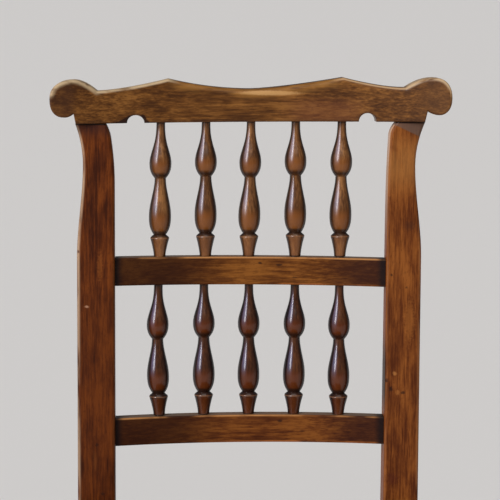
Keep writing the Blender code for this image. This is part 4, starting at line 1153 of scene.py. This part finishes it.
open_new(bpy.ops.mesh.primitive_plane_add, size=2 * FLOOR_HALF)
floor = close_as("floor")
floor_material = bpy.data.materials.new("pale floor")
floor_material.use_nodes = True
floor_shader = floor_material.node_tree.nodes["Principled BSDF"]
floor_shader.inputs["Base Color"].default_value = colour_of(226, 224, 220)
floor_shader.inputs["Roughness"].default_value = 0.9
floor_shader.inputs["Specular IOR Level"].default_value = 0.2
floor.data.materials.append(floor_material)

world = bpy.data.worlds.new("soft room")
bpy.context.scene.world = world
world.use_nodes = True
world.node_tree.nodes["Background"].inputs["Color"].default_value = (0.92, 0.95, 1.0, 1.0)
world.node_tree.nodes["Background"].inputs["Strength"].default_value = 0.17

LOOK_AT = BACK_PLACE + Vector((-0.0001, 0.297 * math.sin(BACK_LEAN) + 0.008, 0.297 * math.cos(BACK_LEAN)))


def let_light_in(name, azimuth, height, spread, strength, colour):
    """Soft even light from one part of the room. Azimuth 0 is straight ahead of the chair."""
    bpy.ops.object.light_add(type="SUN")
    light = bpy.context.object
    light.name = name
    light.data.energy = strength
    light.data.angle = math.radians(spread)
    light.data.color = colour
    turn = math.radians(azimuth)
    rise = math.radians(height)
    away = Vector((math.sin(turn) * math.cos(rise), -math.cos(turn) * math.cos(rise), math.sin(rise)))
    light.rotation_euler = away.to_track_quat("Z", "Y").to_euler()


for pane, pane_height in (("low_pane", 14.0), ("middle_pane", 26.0), ("high_pane", 38.0)):
    let_light_in(pane, -47.0, pane_height, 15.0, 0.86, (0.95, 0.94, 1.0))
let_light_in("side_of_the_room", -82.0, 14.0, 50.0, 0.30, (0.74, 0.83, 1.0))
let_light_in("ceiling", 4.0, 60.0, 56.0, 1.10, (1.0, 0.97, 0.92))

CAMERA_YAW = math.radians(2.5)
CAMERA_PITCH = math.radians(13.5)
CAMERA_ROLL = math.radians(0.6)
CAMERA_DISTANCE = 2.300
PIXELS_ACROSS = 500
FOCAL_PIXELS = 2091.0

forward = Vector((
    math.sin(CAMERA_YAW) * math.cos(CAMERA_PITCH),
    math.cos(CAMERA_YAW) * math.cos(CAMERA_PITCH),
    -math.sin(CAMERA_PITCH),
))
level_right = forward.cross(Vector((0.0, 0.0, 1.0))).normalized()
level_up = level_right.cross(forward)
right = level_right * math.cos(CAMERA_ROLL) + level_up * math.sin(CAMERA_ROLL)
up = level_up * math.cos(CAMERA_ROLL) - level_right * math.sin(CAMERA_ROLL)
camera_data = bpy.data.cameras.new("camera")
camera_data.sensor_width = 36.0
camera_data.lens = FOCAL_PIXELS / PIXELS_ACROSS * camera_data.sensor_width
camera = bpy.data.objects.new("camera", camera_data)
bpy.context.scene.collection.objects.link(camera)
turned = Matrix((right, up, -forward)).transposed().to_4x4()
camera.matrix_world = Matrix.Translation(LOOK_AT - forward * CAMERA_DISTANCE) @ turned
bpy.context.scene.camera = camera
bpy.context.scene.view_settings.view_transform = "Standard"
